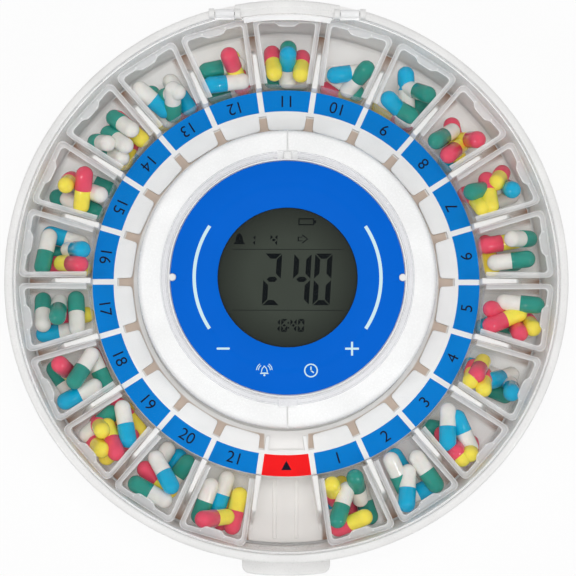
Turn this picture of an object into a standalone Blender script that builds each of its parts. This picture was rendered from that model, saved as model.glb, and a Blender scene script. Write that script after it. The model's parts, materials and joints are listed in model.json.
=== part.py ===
"""Electronic pill box: a round drum in which a geared carousel of numbered cups turns past an exit
window, under a clear hinged cover, with a clock hub in the middle.

The drum lies on its underside. +Z is up, the exit side faces -Y, and the origin is the middle of the
underside. Lengths are in metres."""

import math

import bmesh
import bpy
from mathutils import Matrix, Vector

# Counts
BAY_COUNT = 22
CUP_COUNT = 21
TEETH_PER_BAY = 2
PINION_TEETH = 11
CELL_COUNT = 4
OUTER_FACETS = 52
INNER_FACETS = 2 * BAY_COUNT
SMALL_FACETS = 16
CELL_FACETS = 12
CORNER_POINTS = 3
LIP_CORNER_POINTS = 4
REAR_POINTS = 7
SHARP_ANGLE = 32.0
MERGE_DISTANCE = 0.000001
SCREW_MERGE = 0.00001
TINY_FACETS = 8

# Running and seating gaps
SEAT_GAP = 0.0003
RUN_GAP = 0.0003
CUT_OVERRUN = 0.002
JOIN_DEPTH = 0.0005

# Blue face, display and keys on the hub
FACE_BAND = 0.0186
FACE_THICKNESS = 0.0012
LCD_RADIUS = 0.0267
LCD_FLANGE = 0.0015
LCD_FLANGE_THICKNESS = 0.0024
PIP_RADIUS = 0.00135
KEY_BAND_SHARE = 0.554
KEY_RADIUS = 0.0026
KEY_FLANGE = 0.001
KEY_FLANGE_THICKNESS = 0.0012
KEY_STEM_RADIUS = 0.0016
KEY_TRAVEL = 0.0005
KEY_ANGLES = (-132.0, -104.0, -76.0, -48.0)
KEY_NAMES = ("key_minus", "key_alarm", "key_clock", "key_plus")

# Hub housing
BOSS_RIM = 0.0006
BOSS_HEIGHT = 0.004
FACE_RECESS = 0.0012
HUB_WALL = 0.002
HUB_FILLET = 0.002
SHOULDER_WIDTH = 0.0089
SEAM_WIDTH = 0.0006
SEAM_DEPTH = 0.0008
COLLAR_KEY_WIDTH = 0.0029
COLLAR_KEY_HEIGHT = 0.003
POST_RADIUS = 0.0032
POST_NECK_RADIUS = 0.0022
POST_ANGLE = 25.8
MOTOR_POST_RADIUS = 0.0025

# Circuit board, buzzer and motor
BOARD_SIDE_GAP = 0.0022
BOARD_THICKNESS = 0.0016
BOARD_DROP = 0.0021
BOARD_MOTOR_GAP = 0.0011
BUZZER_RADIUS = 0.0065
BUZZER_HEIGHT = 0.006
BUZZER_EDGE = 0.0055
MOTOR_RADIUS = 0.010
MOTOR_HEIGHT = 0.015
MOTOR_LIFT = 0.002
MOTOR_EAR_REACH = 0.016
MOTOR_EAR_WIDTH = 0.007
MOTOR_EAR_THICKNESS = 0.001
SHAFT_RADIUS = 0.0015

# Clear cover
COLLAR_WIDTH = 0.0027
COLLAR_HEIGHT = 0.0033
COLLAR_NOTCH_WIDTH = 0.0078
CATCH_WIDTH = 0.0074
CATCH_LENGTH = 0.0035
COVER_THICKNESS = 0.0018
COVER_RISE = 0.0055
COVER_DOME_SHARES = (0.0, 0.4, 0.74)
COVER_EDGE_CHAMFER = 0.0005
COVER_SIDE_GAP = 0.0004
WINDOW_BORDER = 0.0025
WINDOW_SIDE_SHARE = 0.96

# Cover hinge
HINGE_OFFSET = 0.0246
HINGE_INSET = 0.0022
BARREL_LENGTH = 0.0074
BARREL_RADIUS = 0.0017
PIN_RADIUS = 0.00065
EAR_LENGTH = 0.0022
EAR_RADIUS = 0.002
HINGE_BLOCK_HEIGHT = 0.0045

# Battery compartment and cells
CELL_RADIUS = 0.00725
CELL_LENGTH = 0.0495
CELL_NUB_RADIUS = 0.00275
CELL_NUB_LENGTH = 0.001
CELL_PITCH_GAP = 0.0005
CELL_CHAMFER = 0.0006
CONTACT_THICKNESS = 0.0005
CONTACT_CONE_LENGTH = 0.0017
CONTACT_CONE_RADIUS = 0.003
CONTACT_CONE_TIP_SHARE = 0.55
CONTACT_HEIGHT = 0.011
BOX_WALL = 0.0024
BOX_ROOF = 0.0018
DOOR_THICKNESS = 0.0018
DOOR_LAP = 0.0012
CELL_DOOR_GAP = 0.0004
GRIP_RADIUS = 0.007
GRIP_DEPTH = 0.0012

# Base shell
FLOOR_THICKNESS = 0.0025
BASE_WALL = 0.0018
FOOT_ROUND = 0.0035
FLARE_HEIGHT = 0.012
FLARE_SHARES = (0.0, 0.35, 0.65)
RIM_WIDTH = 0.0034
RIM_ROUND = 0.001
RIM_PROUD = 0.0004
LEDGE_WIDTH = 0.0009
WELL_GAP = 0.0003
COLUMN_WALL = 0.0018
LIP_WIDTH = 0.035
LIP_REACH = 0.0065
LIP_HEIGHT = 0.0205
LIP_THICKNESS = 0.0032
LIP_CORNER = 0.0034
LIP_EDGE_ROUND = 0.0008
PAD_RADIUS = 0.006
PAD_INSET = 0.017
PAD_ANGLES = (45, 135, 225, 315)
PAD_SEAT_DEPTH = 0.0008
PAD_PROUD = 0.001

# Carousel tray
SLEEVE_WALL = 0.0016
TRAY_LIFT = 0.0017
TRAY_FLOOR = 0.0016
DECK_THICKNESS = 0.0022
DECK_INSET = 0.001
BAY_WALL = 0.0014
GEAR_WIDTH = 0.004
GEAR_LIFT = 0.0012
GEAR_INSET = 0.0086
GEAR_BACKLASH = 0.00035
PRESSURE_ANGLE = 20.0
RING_ADDENDUM_SHARE = 0.5
RING_DEDENDUM_SHARE = 1.1
PINION_ADDENDUM_SHARE = 0.8
PINION_DEDENDUM_SHARE = 1.05
PINION_SIDE_GAP = 0.0002
HUB_FOOT_GAP = 0.0006
RIB_THICKNESS = 0.0014
RIB_DROP = 0.0015
RIB_CREST_LENGTH = 0.013
RIB_CURVE_LENGTH = 0.008
RIB_TOE_LENGTH = 0.002
RIB_TOE_HEIGHT = 0.003
RIB_CURVE_SHARES = (1.0, 0.7, 0.3, 0.0)
TRAY_EDGE_GAP = 0.0012
FLOOR_RIB_HEIGHT = 0.0007
FLOOR_RIB_WIDTH = 0.0016
FLOOR_RIB_OFFSET = 0.0044
FLOOR_RIB_MARGIN = 0.0016

# Numbered ring
BLOCK_GAP = 0.003
BLOCK_LENGTH = 0.0056
BLOCK_SPACING = 0.003
BLOCK_CORNER = 0.0012
RING_WIDTH = 0.0105
RING_THICKNESS = 0.0021
WINDOW_BAR_WIDTH = 0.0015
WINDOW_BAR_GAP = 0.0007

# Cups
CUP_LENGTH = 0.027
CUP_HEIGHT = 0.0316
CUP_WALL = 0.001
CUP_FRAME = 0.0026
CUP_FRAME_THICKNESS = 0.0012
CUP_DRAFT = 0.0009
CUP_CORNER = 0.0025
CUP_SIDE_GAP_INNER = 0.00035
CUP_SIDE_GAP_OUTER = 0.00085
COVER_HEADROOM = 0.0065

# Radii, worked outwards from the display
BAY_ANGLE = 2 * math.pi / BAY_COUNT
HALF_BAY = BAY_ANGLE / 2
HOME_ANGLE = -math.pi / 2
FACE_RADIUS = LCD_RADIUS + FACE_BAND
KEY_ORBIT = LCD_RADIUS + FACE_BAND * KEY_BAND_SHARE
RECESS_RADIUS = FACE_RADIUS + SEAT_GAP
BOSS_RADIUS = RECESS_RADIUS + BOSS_RIM
BOARD_RADIUS = BOSS_RADIUS - HUB_WALL - BOARD_SIDE_GAP
BUZZER_OFFSET = BOARD_RADIUS - BUZZER_RADIUS - BUZZER_EDGE
COLLAR_INNER = BOSS_RADIUS + SEAT_GAP
COLLAR_OUTER = COLLAR_INNER + COLLAR_WIDTH
HUB_RADIUS = COLLAR_OUTER + SHOULDER_WIDTH
PIP_ORBIT = RECESS_RADIUS - PIP_RADIUS + BOSS_RIM / 2
SLEEVE_INNER = HUB_RADIUS + RUN_GAP
SLEEVE_OUTER = SLEEVE_INNER + SLEEVE_WALL
BLOCK_INNER = HUB_RADIUS + BLOCK_GAP
RING_INNER = BLOCK_INNER + BLOCK_LENGTH
RING_OUTER = RING_INNER + RING_WIDTH
BAY_INNER = RING_OUTER + SEAT_GAP
BAY_WALL_INNER = BAY_INNER - BAY_WALL
CUP_INNER = BAY_INNER + SEAT_GAP
CUP_OUTER = CUP_INNER + CUP_LENGTH


def bay_half_width(radius):
    """Half the width between two ribs, measured square to the bay's own middle line."""
    return radius * math.tan(HALF_BAY) - RIB_THICKNESS / 2 / math.cos(HALF_BAY)


CUP_HALF_INNER = bay_half_width(CUP_INNER) - CUP_SIDE_GAP_INNER
CUP_HALF_OUTER = bay_half_width(CUP_OUTER) - CUP_SIDE_GAP_OUTER
CUP_REACH = math.hypot(CUP_OUTER - CUP_CORNER, CUP_HALF_OUTER - CUP_CORNER) + CUP_CORNER
WELL_RADIUS = CUP_REACH + WELL_GAP
LEDGE_RADIUS = WELL_RADIUS + LEDGE_WIDTH
BODY_RADIUS = LEDGE_RADIUS + RIM_WIDTH
COVER_RADIUS = LEDGE_RADIUS - COVER_SIDE_GAP
TRAY_RADIUS = WELL_RADIUS - TRAY_EDGE_GAP
PAD_ORBIT = WELL_RADIUS - PAD_INSET

# Heights, worked upwards from the underside
SLEEVE_BOTTOM = FLOOR_THICKNESS + RUN_GAP
TRAY_BOTTOM = SLEEVE_BOTTOM + TRAY_LIFT
TRAY_FLOOR_TOP = TRAY_BOTTOM + TRAY_FLOOR
CUP_BOTTOM = TRAY_FLOOR_TOP + SEAT_GAP
CUP_TOP = CUP_BOTTOM + CUP_HEIGHT
CELL_AXIS_HEIGHT = DOOR_THICKNESS + CELL_DOOR_GAP + CELL_RADIUS
BOX_CEILING = CELL_AXIS_HEIGHT + CELL_RADIUS + SEAT_GAP
COLUMN_TOP = BOX_CEILING + BOX_ROOF
GEAR_BOTTOM = COLUMN_TOP + GEAR_LIFT
GEAR_TOP = GEAR_BOTTOM + GEAR_WIDTH
DECK_TOP = GEAR_TOP + DECK_THICKNESS
RING_BOTTOM = DECK_TOP + SEAT_GAP
RING_TOP = RING_BOTTOM + RING_THICKNESS
HUB_BOTTOM = GEAR_TOP + HUB_FOOT_GAP
LEDGE_HEIGHT = CUP_TOP + COVER_HEADROOM
COVER_EDGE_BOTTOM = LEDGE_HEIGHT + SEAT_GAP
COVER_EDGE_TOP = COVER_EDGE_BOTTOM + COVER_THICKNESS
RIM_HEIGHT = COVER_EDGE_TOP + RIM_PROUD
COVER_MIDDLE_BOTTOM = COVER_EDGE_BOTTOM + COVER_RISE
SHOULDER_HEIGHT = COVER_MIDDLE_BOTTOM - SEAT_GAP
BOSS_TOP = SHOULDER_HEIGHT + BOSS_HEIGHT
RECESS_FLOOR = BOSS_TOP - FACE_RECESS
HUB_CEILING = RECESS_FLOOR - HUB_WALL
FACE_BOTTOM = RECESS_FLOOR + SEAT_GAP
FACE_TOP = FACE_BOTTOM + FACE_THICKNESS
LCD_BOTTOM = HUB_CEILING - SEAT_GAP - LCD_FLANGE_THICKNESS
BOARD_TOP = LCD_BOTTOM - BOARD_DROP
BOARD_BOTTOM = BOARD_TOP - BOARD_THICKNESS

# Gears
RING_TEETH = TEETH_PER_BAY * BAY_COUNT
GEAR_PITCH_RADIUS = HUB_RADIUS - GEAR_INSET
GEAR_MODULE = 2 * GEAR_PITCH_RADIUS / RING_TEETH
PINION_PITCH_RADIUS = GEAR_MODULE * PINION_TEETH / 2
PINION_DISTANCE = GEAR_PITCH_RADIUS - PINION_PITCH_RADIUS
BOARD_FLAT = PINION_DISTANCE - MOTOR_RADIUS - BOARD_MOTOR_GAP
RING_GEAR_TIP = GEAR_PITCH_RADIUS - RING_ADDENDUM_SHARE * GEAR_MODULE
RING_GEAR_ROOT = GEAR_PITCH_RADIUS + RING_DEDENDUM_SHARE * GEAR_MODULE

# Battery box and hinge places
CELL_PITCH = 2 * CELL_RADIUS + CELL_PITCH_GAP
CELL_SPAN = CELL_LENGTH + CELL_NUB_LENGTH
BOX_HALF_X = CELL_PITCH * CELL_COUNT / 2
BOX_HALF_Y = CELL_SPAN / 2 + SEAT_GAP + CONTACT_CONE_LENGTH + CONTACT_THICKNESS + SEAT_GAP
DOOR_HALF_X = BOX_HALF_X + DOOR_LAP
DOOR_HALF_Y = BOX_HALF_Y + DOOR_LAP
HINGE_Y = LEDGE_RADIUS - HINGE_INSET
HINGE_Z = COVER_EDGE_TOP
COVER_REAR = HINGE_Y - EAR_RADIUS - SEAT_GAP
BARREL_SEAT = BARREL_LENGTH / 2 + SEAT_GAP
HINGE_INNER_X = HINGE_OFFSET - BARREL_SEAT - EAR_LENGTH - SEAT_GAP
HINGE_OUTER_X = HINGE_OFFSET + BARREL_SEAT + EAR_LENGTH

PARTS_NAME = "electronic_pill_box"


def clear_scene():
    """Start from an empty scene."""
    for obj in list(bpy.data.objects):
        bpy.data.objects.remove(obj, do_unlink=True)


def make_collection(name):
    group = bpy.data.collections.new(name)
    bpy.context.scene.collection.children.link(group)
    return group


def make_material(name, colour, roughness, metallic=0.0, alpha=1.0):
    """A Principled material with one colour."""
    material = bpy.data.materials.new(name)
    material.use_nodes = True
    shader = next(node for node in material.node_tree.nodes if node.type == "BSDF_PRINCIPLED")
    shader.inputs["Base Color"].default_value = (*colour, 1.0)
    shader.inputs["Roughness"].default_value = roughness
    shader.inputs["Metallic"].default_value = metallic
    shader.inputs["Alpha"].default_value = alpha
    return material


def add_object(name, mesh, group, material=None):
    obj = bpy.data.objects.new(name, mesh)
    group.objects.link(obj)
    if material is not None:
        mesh.materials.append(material)
    return obj


def mesh_from(bm, name):
    """Finish a bmesh as a mesh with outward faces."""
    bmesh.ops.recalc_face_normals(bm, faces=bm.faces)
    mesh = bpy.data.meshes.new(name)
    bm.to_mesh(mesh)
    bm.free()
    return mesh


def settle_shapes(parts):
    """Keep each piece's cut and joined shape as its own mesh, smooth where it is round."""
    graph = bpy.context.evaluated_depsgraph_get()
    graph.update()
    meshes = [obj for obj in parts.objects if obj.type == "MESH"]
    for obj in meshes:
        if obj.modifiers:
            settled = bpy.data.meshes.new_from_object(obj.evaluated_get(graph))
            obj.modifiers.clear()
            obj.data = settled
        obj.data.shade_smooth()
        obj.data.set_sharp_from_angle(angle=math.radians(SHARP_ANGLE))


def polar(radius, angle, height=0.0):
    return Vector((radius * math.cos(angle), radius * math.sin(angle), height))


def arc(centre, radius, start, end, count):
    """Points on an arc about a centre, angles in degrees, both ends included."""
    points = []
    for step in range(count):
        angle = math.radians(start + (end - start) * step / (count - 1))
        points.append((centre[0] + radius * math.cos(angle), centre[1] + radius * math.sin(angle)))
    return points


def circle(radius, count, centre=(0.0, 0.0)):
    points = []
    for step in range(count):
        angle = 2 * math.pi * step / count
        points.append((centre[0] + radius * math.cos(angle), centre[1] + radius * math.sin(angle)))
    return points


def turned(name, profile, group, material=None, facets=INNER_FACETS, closed=True):
    """A turned piece: a profile of radius and height points under a Screw modifier.
    The profile runs down its outer side. One that starts and ends on the axis isn't closed."""
    mesh = bpy.data.meshes.new(name)
    edges = [(index, index + 1) for index in range(len(profile) - 1)]
    if closed:
        edges.append((len(profile) - 1, 0))
    mesh.from_pydata([(radius, 0.0, height) for radius, height in profile], edges, [])
    obj = add_object(name, mesh, group, material)
    screw = obj.modifiers.new("turn", "SCREW")
    screw.axis = "Z"
    screw.angle = 2 * math.pi
    screw.steps = facets
    screw.render_steps = facets
    screw.use_merge_vertices = True
    screw.merge_threshold = SCREW_MERGE
    return obj


def plate(name, outlines, bottom, top, group, material=None):
    """A flat outline with any holes, given as loops of XY points, between two heights."""
    curve = bpy.data.curves.new(name + "_outline", "CURVE")
    curve.dimensions = "2D"
    curve.fill_mode = "BOTH"
    curve.extrude = (top - bottom) / 2
    for points in outlines:
        spline = curve.splines.new("POLY")
        spline.points.add(len(points) - 1)
        for target, point in zip(spline.points, points):
            target.co = (point[0], point[1], 0.0, 1.0)
        spline.use_cyclic_u = True
    source = bpy.data.objects.new(name + "_outline", curve)
    group.objects.link(source)
    source.location.z = (top + bottom) / 2
    bpy.context.view_layer.update()
    evaluated = source.evaluated_get(bpy.context.evaluated_depsgraph_get())
    mesh = bpy.data.meshes.new_from_object(evaluated)
    mesh.name = name
    obj = add_object(name, mesh, group, material)
    obj.matrix_world = source.matrix_world.copy()
    bpy.data.objects.remove(source, do_unlink=True)
    bpy.data.curves.remove(curve)
    bm = bmesh.new()
    bm.from_mesh(mesh)
    bmesh.ops.remove_doubles(bm, verts=bm.verts, dist=MERGE_DISTANCE)
    bm.to_mesh(mesh)
    bm.free()
    return obj


def box(name, low, high, group, material=None):
    """A box between two corners, with its origin at its middle."""
    bm = bmesh.new()
    bmesh.ops.create_cube(bm, size=1.0)
    size = [end - start for start, end in zip(low, high)]
    bmesh.ops.scale(bm, vec=size, verts=bm.verts)
    obj = add_object(name, mesh_from(bm, name), group, material)
    obj.location = [(start + end) / 2 for start, end in zip(low, high)]
    return obj


def cylinder(name, radius, length, centre, direction, group, material=None, facets=SMALL_FACETS, tip=None):
    """A cylinder, or a cone with a second radius, whose middle and direction are given."""
    bm = bmesh.new()
    far = radius if tip is None else tip
    bmesh.ops.create_cone(
        bm, cap_ends=True, segments=facets, radius1=radius, radius2=far, depth=length
    )
    turn = Vector((0.0, 0.0, 1.0)).rotation_difference(Vector(direction))
    bmesh.ops.rotate(bm, cent=Vector(), matrix=turn.to_matrix(), verts=bm.verts)
    obj = add_object(name, mesh_from(bm, name), group, material)
    obj.location = centre
    return obj


def merged(name, pieces, group):
    """Several separate tool shapes as one hidden tool, so that one Boolean takes them all."""
    bm = bmesh.new()
    bpy.context.view_layer.update()
    graph = bpy.context.evaluated_depsgraph_get()
    for piece in pieces:
        part = bmesh.new()
        part.from_object(piece, graph)
        bmesh.ops.transform(part, matrix=piece.matrix_world, verts=part.verts)
        mesh = bpy.data.meshes.new("merging")
        part.to_mesh(mesh)
        part.free()
        bm.from_mesh(mesh)
        bpy.data.meshes.remove(mesh)
    for piece in pieces:
        bpy.data.objects.remove(piece, do_unlink=True)
    mesh = bpy.data.meshes.new(name)
    bm.to_mesh(mesh)
    bm.free()
    return add_object(name, mesh, group)


def boolean(target, tool, operation):
    """Cut or join with a hidden tool, exactly."""
    tool.hide_render = True
    tool.display_type = "WIRE"
    modifier = target.modifiers.new(operation.lower(), "BOOLEAN")
    modifier.operation = operation
    modifier.solver = "EXACT"
    modifier.object = tool


def cut(target, tool):
    boolean(target, tool, "DIFFERENCE")


def join(target, tool):
    boolean(target, tool, "UNION")


def spin_copies(obj, angles, group):
    """Copies of a tool turned about the hub axis, one for each angle."""
    copies = []
    bpy.context.view_layer.update()
    for angle in angles:
        twin = obj.copy()
        group.objects.link(twin)
        twin.matrix_world = Matrix.Rotation(angle, 4, "Z") @ obj.matrix_world
        copies.append(twin)
    bpy.data.objects.remove(obj, do_unlink=True)
    return copies


def hang_on(obj, empty):
    """Parent an object to an empty without moving it."""
    bpy.context.view_layer.update()
    obj.parent = empty
    obj.matrix_parent_inverse = empty.matrix_world.inverted()


def make_empty(name, point, group):
    empty = bpy.data.objects.new(name, None)
    empty.empty_display_size = PAD_RADIUS
    empty.location = point
    group.objects.link(empty)
    bpy.context.view_layer.update()
    return empty


def base_profile():
    """Floor, bearing column and flared outer wall in one section."""
    wall = WELL_RADIUS + BASE_WALL
    flare_start = RIM_HEIGHT - FLARE_HEIGHT
    flare_end = LEDGE_HEIGHT
    profile = [(0.0, FLOOR_THICKNESS)]
    column_inner = HUB_RADIUS - COLUMN_WALL
    profile += [(column_inner, FLOOR_THICKNESS), (column_inner, COLUMN_TOP)]
    profile += [(HUB_RADIUS, COLUMN_TOP), (HUB_RADIUS, FLOOR_THICKNESS)]
    profile += [(WELL_RADIUS, FLOOR_THICKNESS), (WELL_RADIUS, LEDGE_HEIGHT)]
    profile += [(LEDGE_RADIUS, LEDGE_HEIGHT), (LEDGE_RADIUS, RIM_HEIGHT)]
    profile += arc((BODY_RADIUS - RIM_ROUND, RIM_HEIGHT - RIM_ROUND), RIM_ROUND, 90, 0, CORNER_POINTS)
    for share in FLARE_SHARES:
        blend = 0.5 + 0.5 * math.cos(math.pi * share)
        height = flare_end + (flare_start - flare_end) * share
        profile.append((wall + (BODY_RADIUS - wall) * blend, height))
    profile.append((wall, flare_start))
    profile += arc((wall - FOOT_ROUND, FOOT_ROUND), FOOT_ROUND, 0, -90, CORNER_POINTS)
    profile.append((0.0, 0.0))
    return profile


def lip_outline():
    """The front lip in plan: a round-cornered tongue whose end follows the drum."""
    reach = BODY_RADIUS + LIP_REACH
    half = LIP_WIDTH / 2
    root = -(WELL_RADIUS + BASE_WALL / 2)
    corner_angle = math.asin((half - LIP_CORNER) / (reach - LIP_CORNER))
    corner_y = -(reach - LIP_CORNER) * math.cos(corner_angle)
    tilt = math.degrees(corner_angle)
    points = [(-half, root * math.cos(math.asin(half / -root)))]
    points += arc((-(half - LIP_CORNER), corner_y), LIP_CORNER, 180, 270 - tilt, LIP_CORNER_POINTS)
    for share in (-0.5, 0.0, 0.5):
        angle = corner_angle * share
        points.append((reach * math.sin(angle), -reach * math.cos(angle)))
    points += arc((half - LIP_CORNER, corner_y), LIP_CORNER, -90 + tilt, 0, LIP_CORNER_POINTS)
    points.append((half, root * math.cos(math.asin(half / -root))))
    return points


def rear_arc(radius, half_width, count):
    """Points of an arc about the hub axis across the rear, from left to right."""
    reach = math.degrees(math.asin(half_width / radius))
    return arc((0.0, 0.0), radius, 90 + reach, 90 - reach, count)


def base_shell(parts, tools, material):
    base = turned("base_shell", base_profile(), parts, material, facets=OUTER_FACETS, closed=False)
    box_x, box_y = BOX_HALF_X + BOX_WALL, BOX_HALF_Y + BOX_WALL
    under = FLOOR_THICKNESS - JOIN_DEPTH
    join(base, box("battery_box_form", (-box_x, -box_y, under), (box_x, box_y, COLUMN_TOP), tools))
    block_top = COVER_EDGE_TOP
    block_back = LEDGE_RADIUS + RIM_WIDTH / 2
    block_front = HINGE_Y - EAR_RADIUS
    outline = [(HINGE_OUTER_X, block_front), (-HINGE_OUTER_X, block_front)]
    outline += rear_arc(block_back, HINGE_OUTER_X, CORNER_POINTS)
    join(base, plate("hinge_block_form", [outline], block_top - HINGE_BLOCK_HEIGHT, block_top, tools))
    ear_middle = BARREL_SEAT + EAR_LENGTH / 2
    ears = []
    for side in (-1, 1):
        for end in (-1, 1):
            centre = (side * HINGE_OFFSET + end * ear_middle, HINGE_Y, HINGE_Z)
            ears.append(cylinder("ear_form", EAR_RADIUS, EAR_LENGTH, centre, (1, 0, 0), tools,
                                 facets=SMALL_FACETS))
    join(base, merged("hinge_ear_forms", ears, tools))
    lip = plate("lip_form", [lip_outline()], LIP_HEIGHT, LIP_HEIGHT + LIP_THICKNESS, tools)
    rounding = lip.modifiers.new("edge", "BEVEL")
    rounding.width = LIP_EDGE_ROUND
    rounding.segments = 2
    rounding.limit_method = "ANGLE"
    rounding.angle_limit = math.radians(SHARP_ANGLE)
    join(base, lip)
    cut(base, box("battery_pocket", (-BOX_HALF_X, -BOX_HALF_Y, -CUT_OVERRUN),
                  (BOX_HALF_X, BOX_HALF_Y, BOX_CEILING), tools))
    rabbet_x, rabbet_y = DOOR_HALF_X + SEAT_GAP, DOOR_HALF_Y + SEAT_GAP
    cut(base, box("door_rabbet", (-rabbet_x, -rabbet_y, -CUT_OVERRUN),
                  (rabbet_x, rabbet_y, DOOR_THICKNESS + SEAT_GAP), tools))
    grip = arc((0.0, rabbet_y - SEAT_GAP), GRIP_RADIUS, 0, 180, TINY_FACETS)
    cut(base, plate("door_grip", [grip], -CUT_OVERRUN, GRIP_DEPTH, tools))
    sockets = [cylinder("pad_socket", PAD_RADIUS + SEAT_GAP, 2 * (PAD_SEAT_DEPTH + SEAT_GAP), point,
                        (0, 0, 1), tools) for point in pad_places()]
    cut(base, merged("pad_sockets", sockets, tools))
    slots = []
    bores = []
    for side in (-1, 1):
        middle = side * HINGE_OFFSET
        low = (middle - BARREL_SEAT, COVER_REAR - SEAT_GAP, LEDGE_HEIGHT)
        high = (middle + BARREL_SEAT, BODY_RADIUS + CUT_OVERRUN, RIM_HEIGHT + EAR_RADIUS)
        slots.append(box("slot", low, high, tools))
        bore_length = 2 * (BARREL_SEAT + EAR_LENGTH + CUT_OVERRUN)
        bores.append(cylinder("pin_bore", PIN_RADIUS + SEAT_GAP, bore_length, (middle, HINGE_Y, HINGE_Z),
                              (1, 0, 0), tools, facets=TINY_FACETS))
    front = COVER_REAR - CUT_OVERRUN
    seat = [(HINGE_INNER_X, front), (-HINGE_INNER_X, front)]
    seat += rear_arc(HINGE_Y + SEAT_GAP, HINGE_INNER_X, REAR_POINTS)
    slots.append(plate("cover_seat", [seat], LEDGE_HEIGHT, RIM_HEIGHT + EAR_RADIUS, tools))
    cut(base, merged("hinge_slots", slots, tools))
    cut(base, merged("hinge_pin_bores", bores, tools))
    return base


def pad_places():
    """Centres of the four rubber pads on the underside plane."""
    return [polar(PAD_ORBIT, math.radians(angle)) for angle in PAD_ANGLES]


def foot_pads(parts, material):
    pads = []
    height = PAD_PROUD + PAD_SEAT_DEPTH
    for index, point in enumerate(pad_places(), start=1):
        centre = point + Vector((0, 0, PAD_SEAT_DEPTH - height / 2))
        pads.append(cylinder(f"foot_pad_{index}", PAD_RADIUS, height, centre, (0, 0, 1), parts, material))
    return pads


def battery_door(parts, material):
    low, high = (-DOOR_HALF_X, -DOOR_HALF_Y, 0.0), (DOOR_HALF_X, DOOR_HALF_Y, DOOR_THICKNESS)
    return box("battery_door", low, high, parts, material)


def battery_cells(parts, material):
    """Cells side by side, their buttons facing front and back in turn."""
    cells = []
    half = CELL_SPAN / 2
    shoulder = half - CELL_NUB_LENGTH
    profile = [(0.0, half), (CELL_NUB_RADIUS, half), (CELL_NUB_RADIUS, shoulder)]
    profile += [(CELL_RADIUS - CELL_CHAMFER, shoulder), (CELL_RADIUS, shoulder - CELL_CHAMFER)]
    profile += [(CELL_RADIUS, -half), (0.0, -half)]
    for index in range(CELL_COUNT):
        name = f"battery_cell_{index + 1}"
        cell = turned(name, profile, parts, material, facets=CELL_FACETS, closed=False)
        way = 1 if index % 2 else -1
        cell.rotation_euler = (way * math.pi / 2, 0.0, 0.0)
        cell.location = ((index - (CELL_COUNT - 1) / 2) * CELL_PITCH, 0.0, CELL_AXIS_HEIGHT)
        cells.append(cell)
    return cells


def battery_contact(name, side, parts, tools, material):
    """A contact strip with one conical spring for each cell."""
    back = side * (BOX_HALF_Y - SEAT_GAP)
    front = back - side * CONTACT_THICKNESS
    half_x = BOX_HALF_X - SEAT_GAP
    low = (-half_x, min(back, front), CELL_AXIS_HEIGHT - CONTACT_HEIGHT / 2)
    high = (half_x, max(back, front), CELL_AXIS_HEIGHT + CONTACT_HEIGHT / 2)
    strip = box(name, low, high, parts, material)
    cones = []
    length = CONTACT_CONE_LENGTH + JOIN_DEPTH / 2
    for index in range(CELL_COUNT):
        x = (index - (CELL_COUNT - 1) / 2) * CELL_PITCH
        centre = (x, front - side * (CONTACT_CONE_LENGTH - length / 2), CELL_AXIS_HEIGHT)
        cones.append(cylinder("cone", CONTACT_CONE_RADIUS, length, centre, (0, -side, 0), tools,
                              facets=TINY_FACETS, tip=CONTACT_CONE_RADIUS * CONTACT_CONE_TIP_SHARE))
    join(strip, merged(name + "_springs", cones, tools))
    return strip


def post_places():
    """The four housing posts that carry the circuit board and stand on the battery box."""
    orbit = LCD_RADIUS + LCD_FLANGE + SEAT_GAP + POST_RADIUS + RUN_GAP
    angle = math.radians(POST_ANGLE)
    x, y = orbit * math.cos(angle), orbit * math.sin(angle)
    return [(x, y), (-x, y), (-x, -y), (x, -y)]


def key_places():
    return [polar(KEY_ORBIT, math.radians(angle)) for angle in KEY_ANGLES]


def hub_profile():
    """Turned section of the hub housing: display hole, face recess, rim, shoulder and skirt."""
    hole = LCD_RADIUS + SEAT_GAP
    inner_wall = HUB_RADIUS - HUB_WALL
    shoulder_ceiling = SHOULDER_HEIGHT - HUB_WALL
    profile = [(hole, RECESS_FLOOR), (RECESS_RADIUS, RECESS_FLOOR), (RECESS_RADIUS, BOSS_TOP)]
    profile += [(BOSS_RADIUS, BOSS_TOP), (BOSS_RADIUS, SHOULDER_HEIGHT)]
    fillet = (HUB_RADIUS - HUB_FILLET, SHOULDER_HEIGHT - HUB_FILLET)
    profile += arc(fillet, HUB_FILLET, 90, 0, CORNER_POINTS)
    profile += [(HUB_RADIUS, HUB_BOTTOM), (inner_wall, HUB_BOTTOM), (inner_wall, shoulder_ceiling)]
    profile += [(BOSS_RADIUS - HUB_WALL, shoulder_ceiling), (BOSS_RADIUS - HUB_WALL, HUB_CEILING)]
    profile.append((hole, HUB_CEILING))
    return profile


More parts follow.
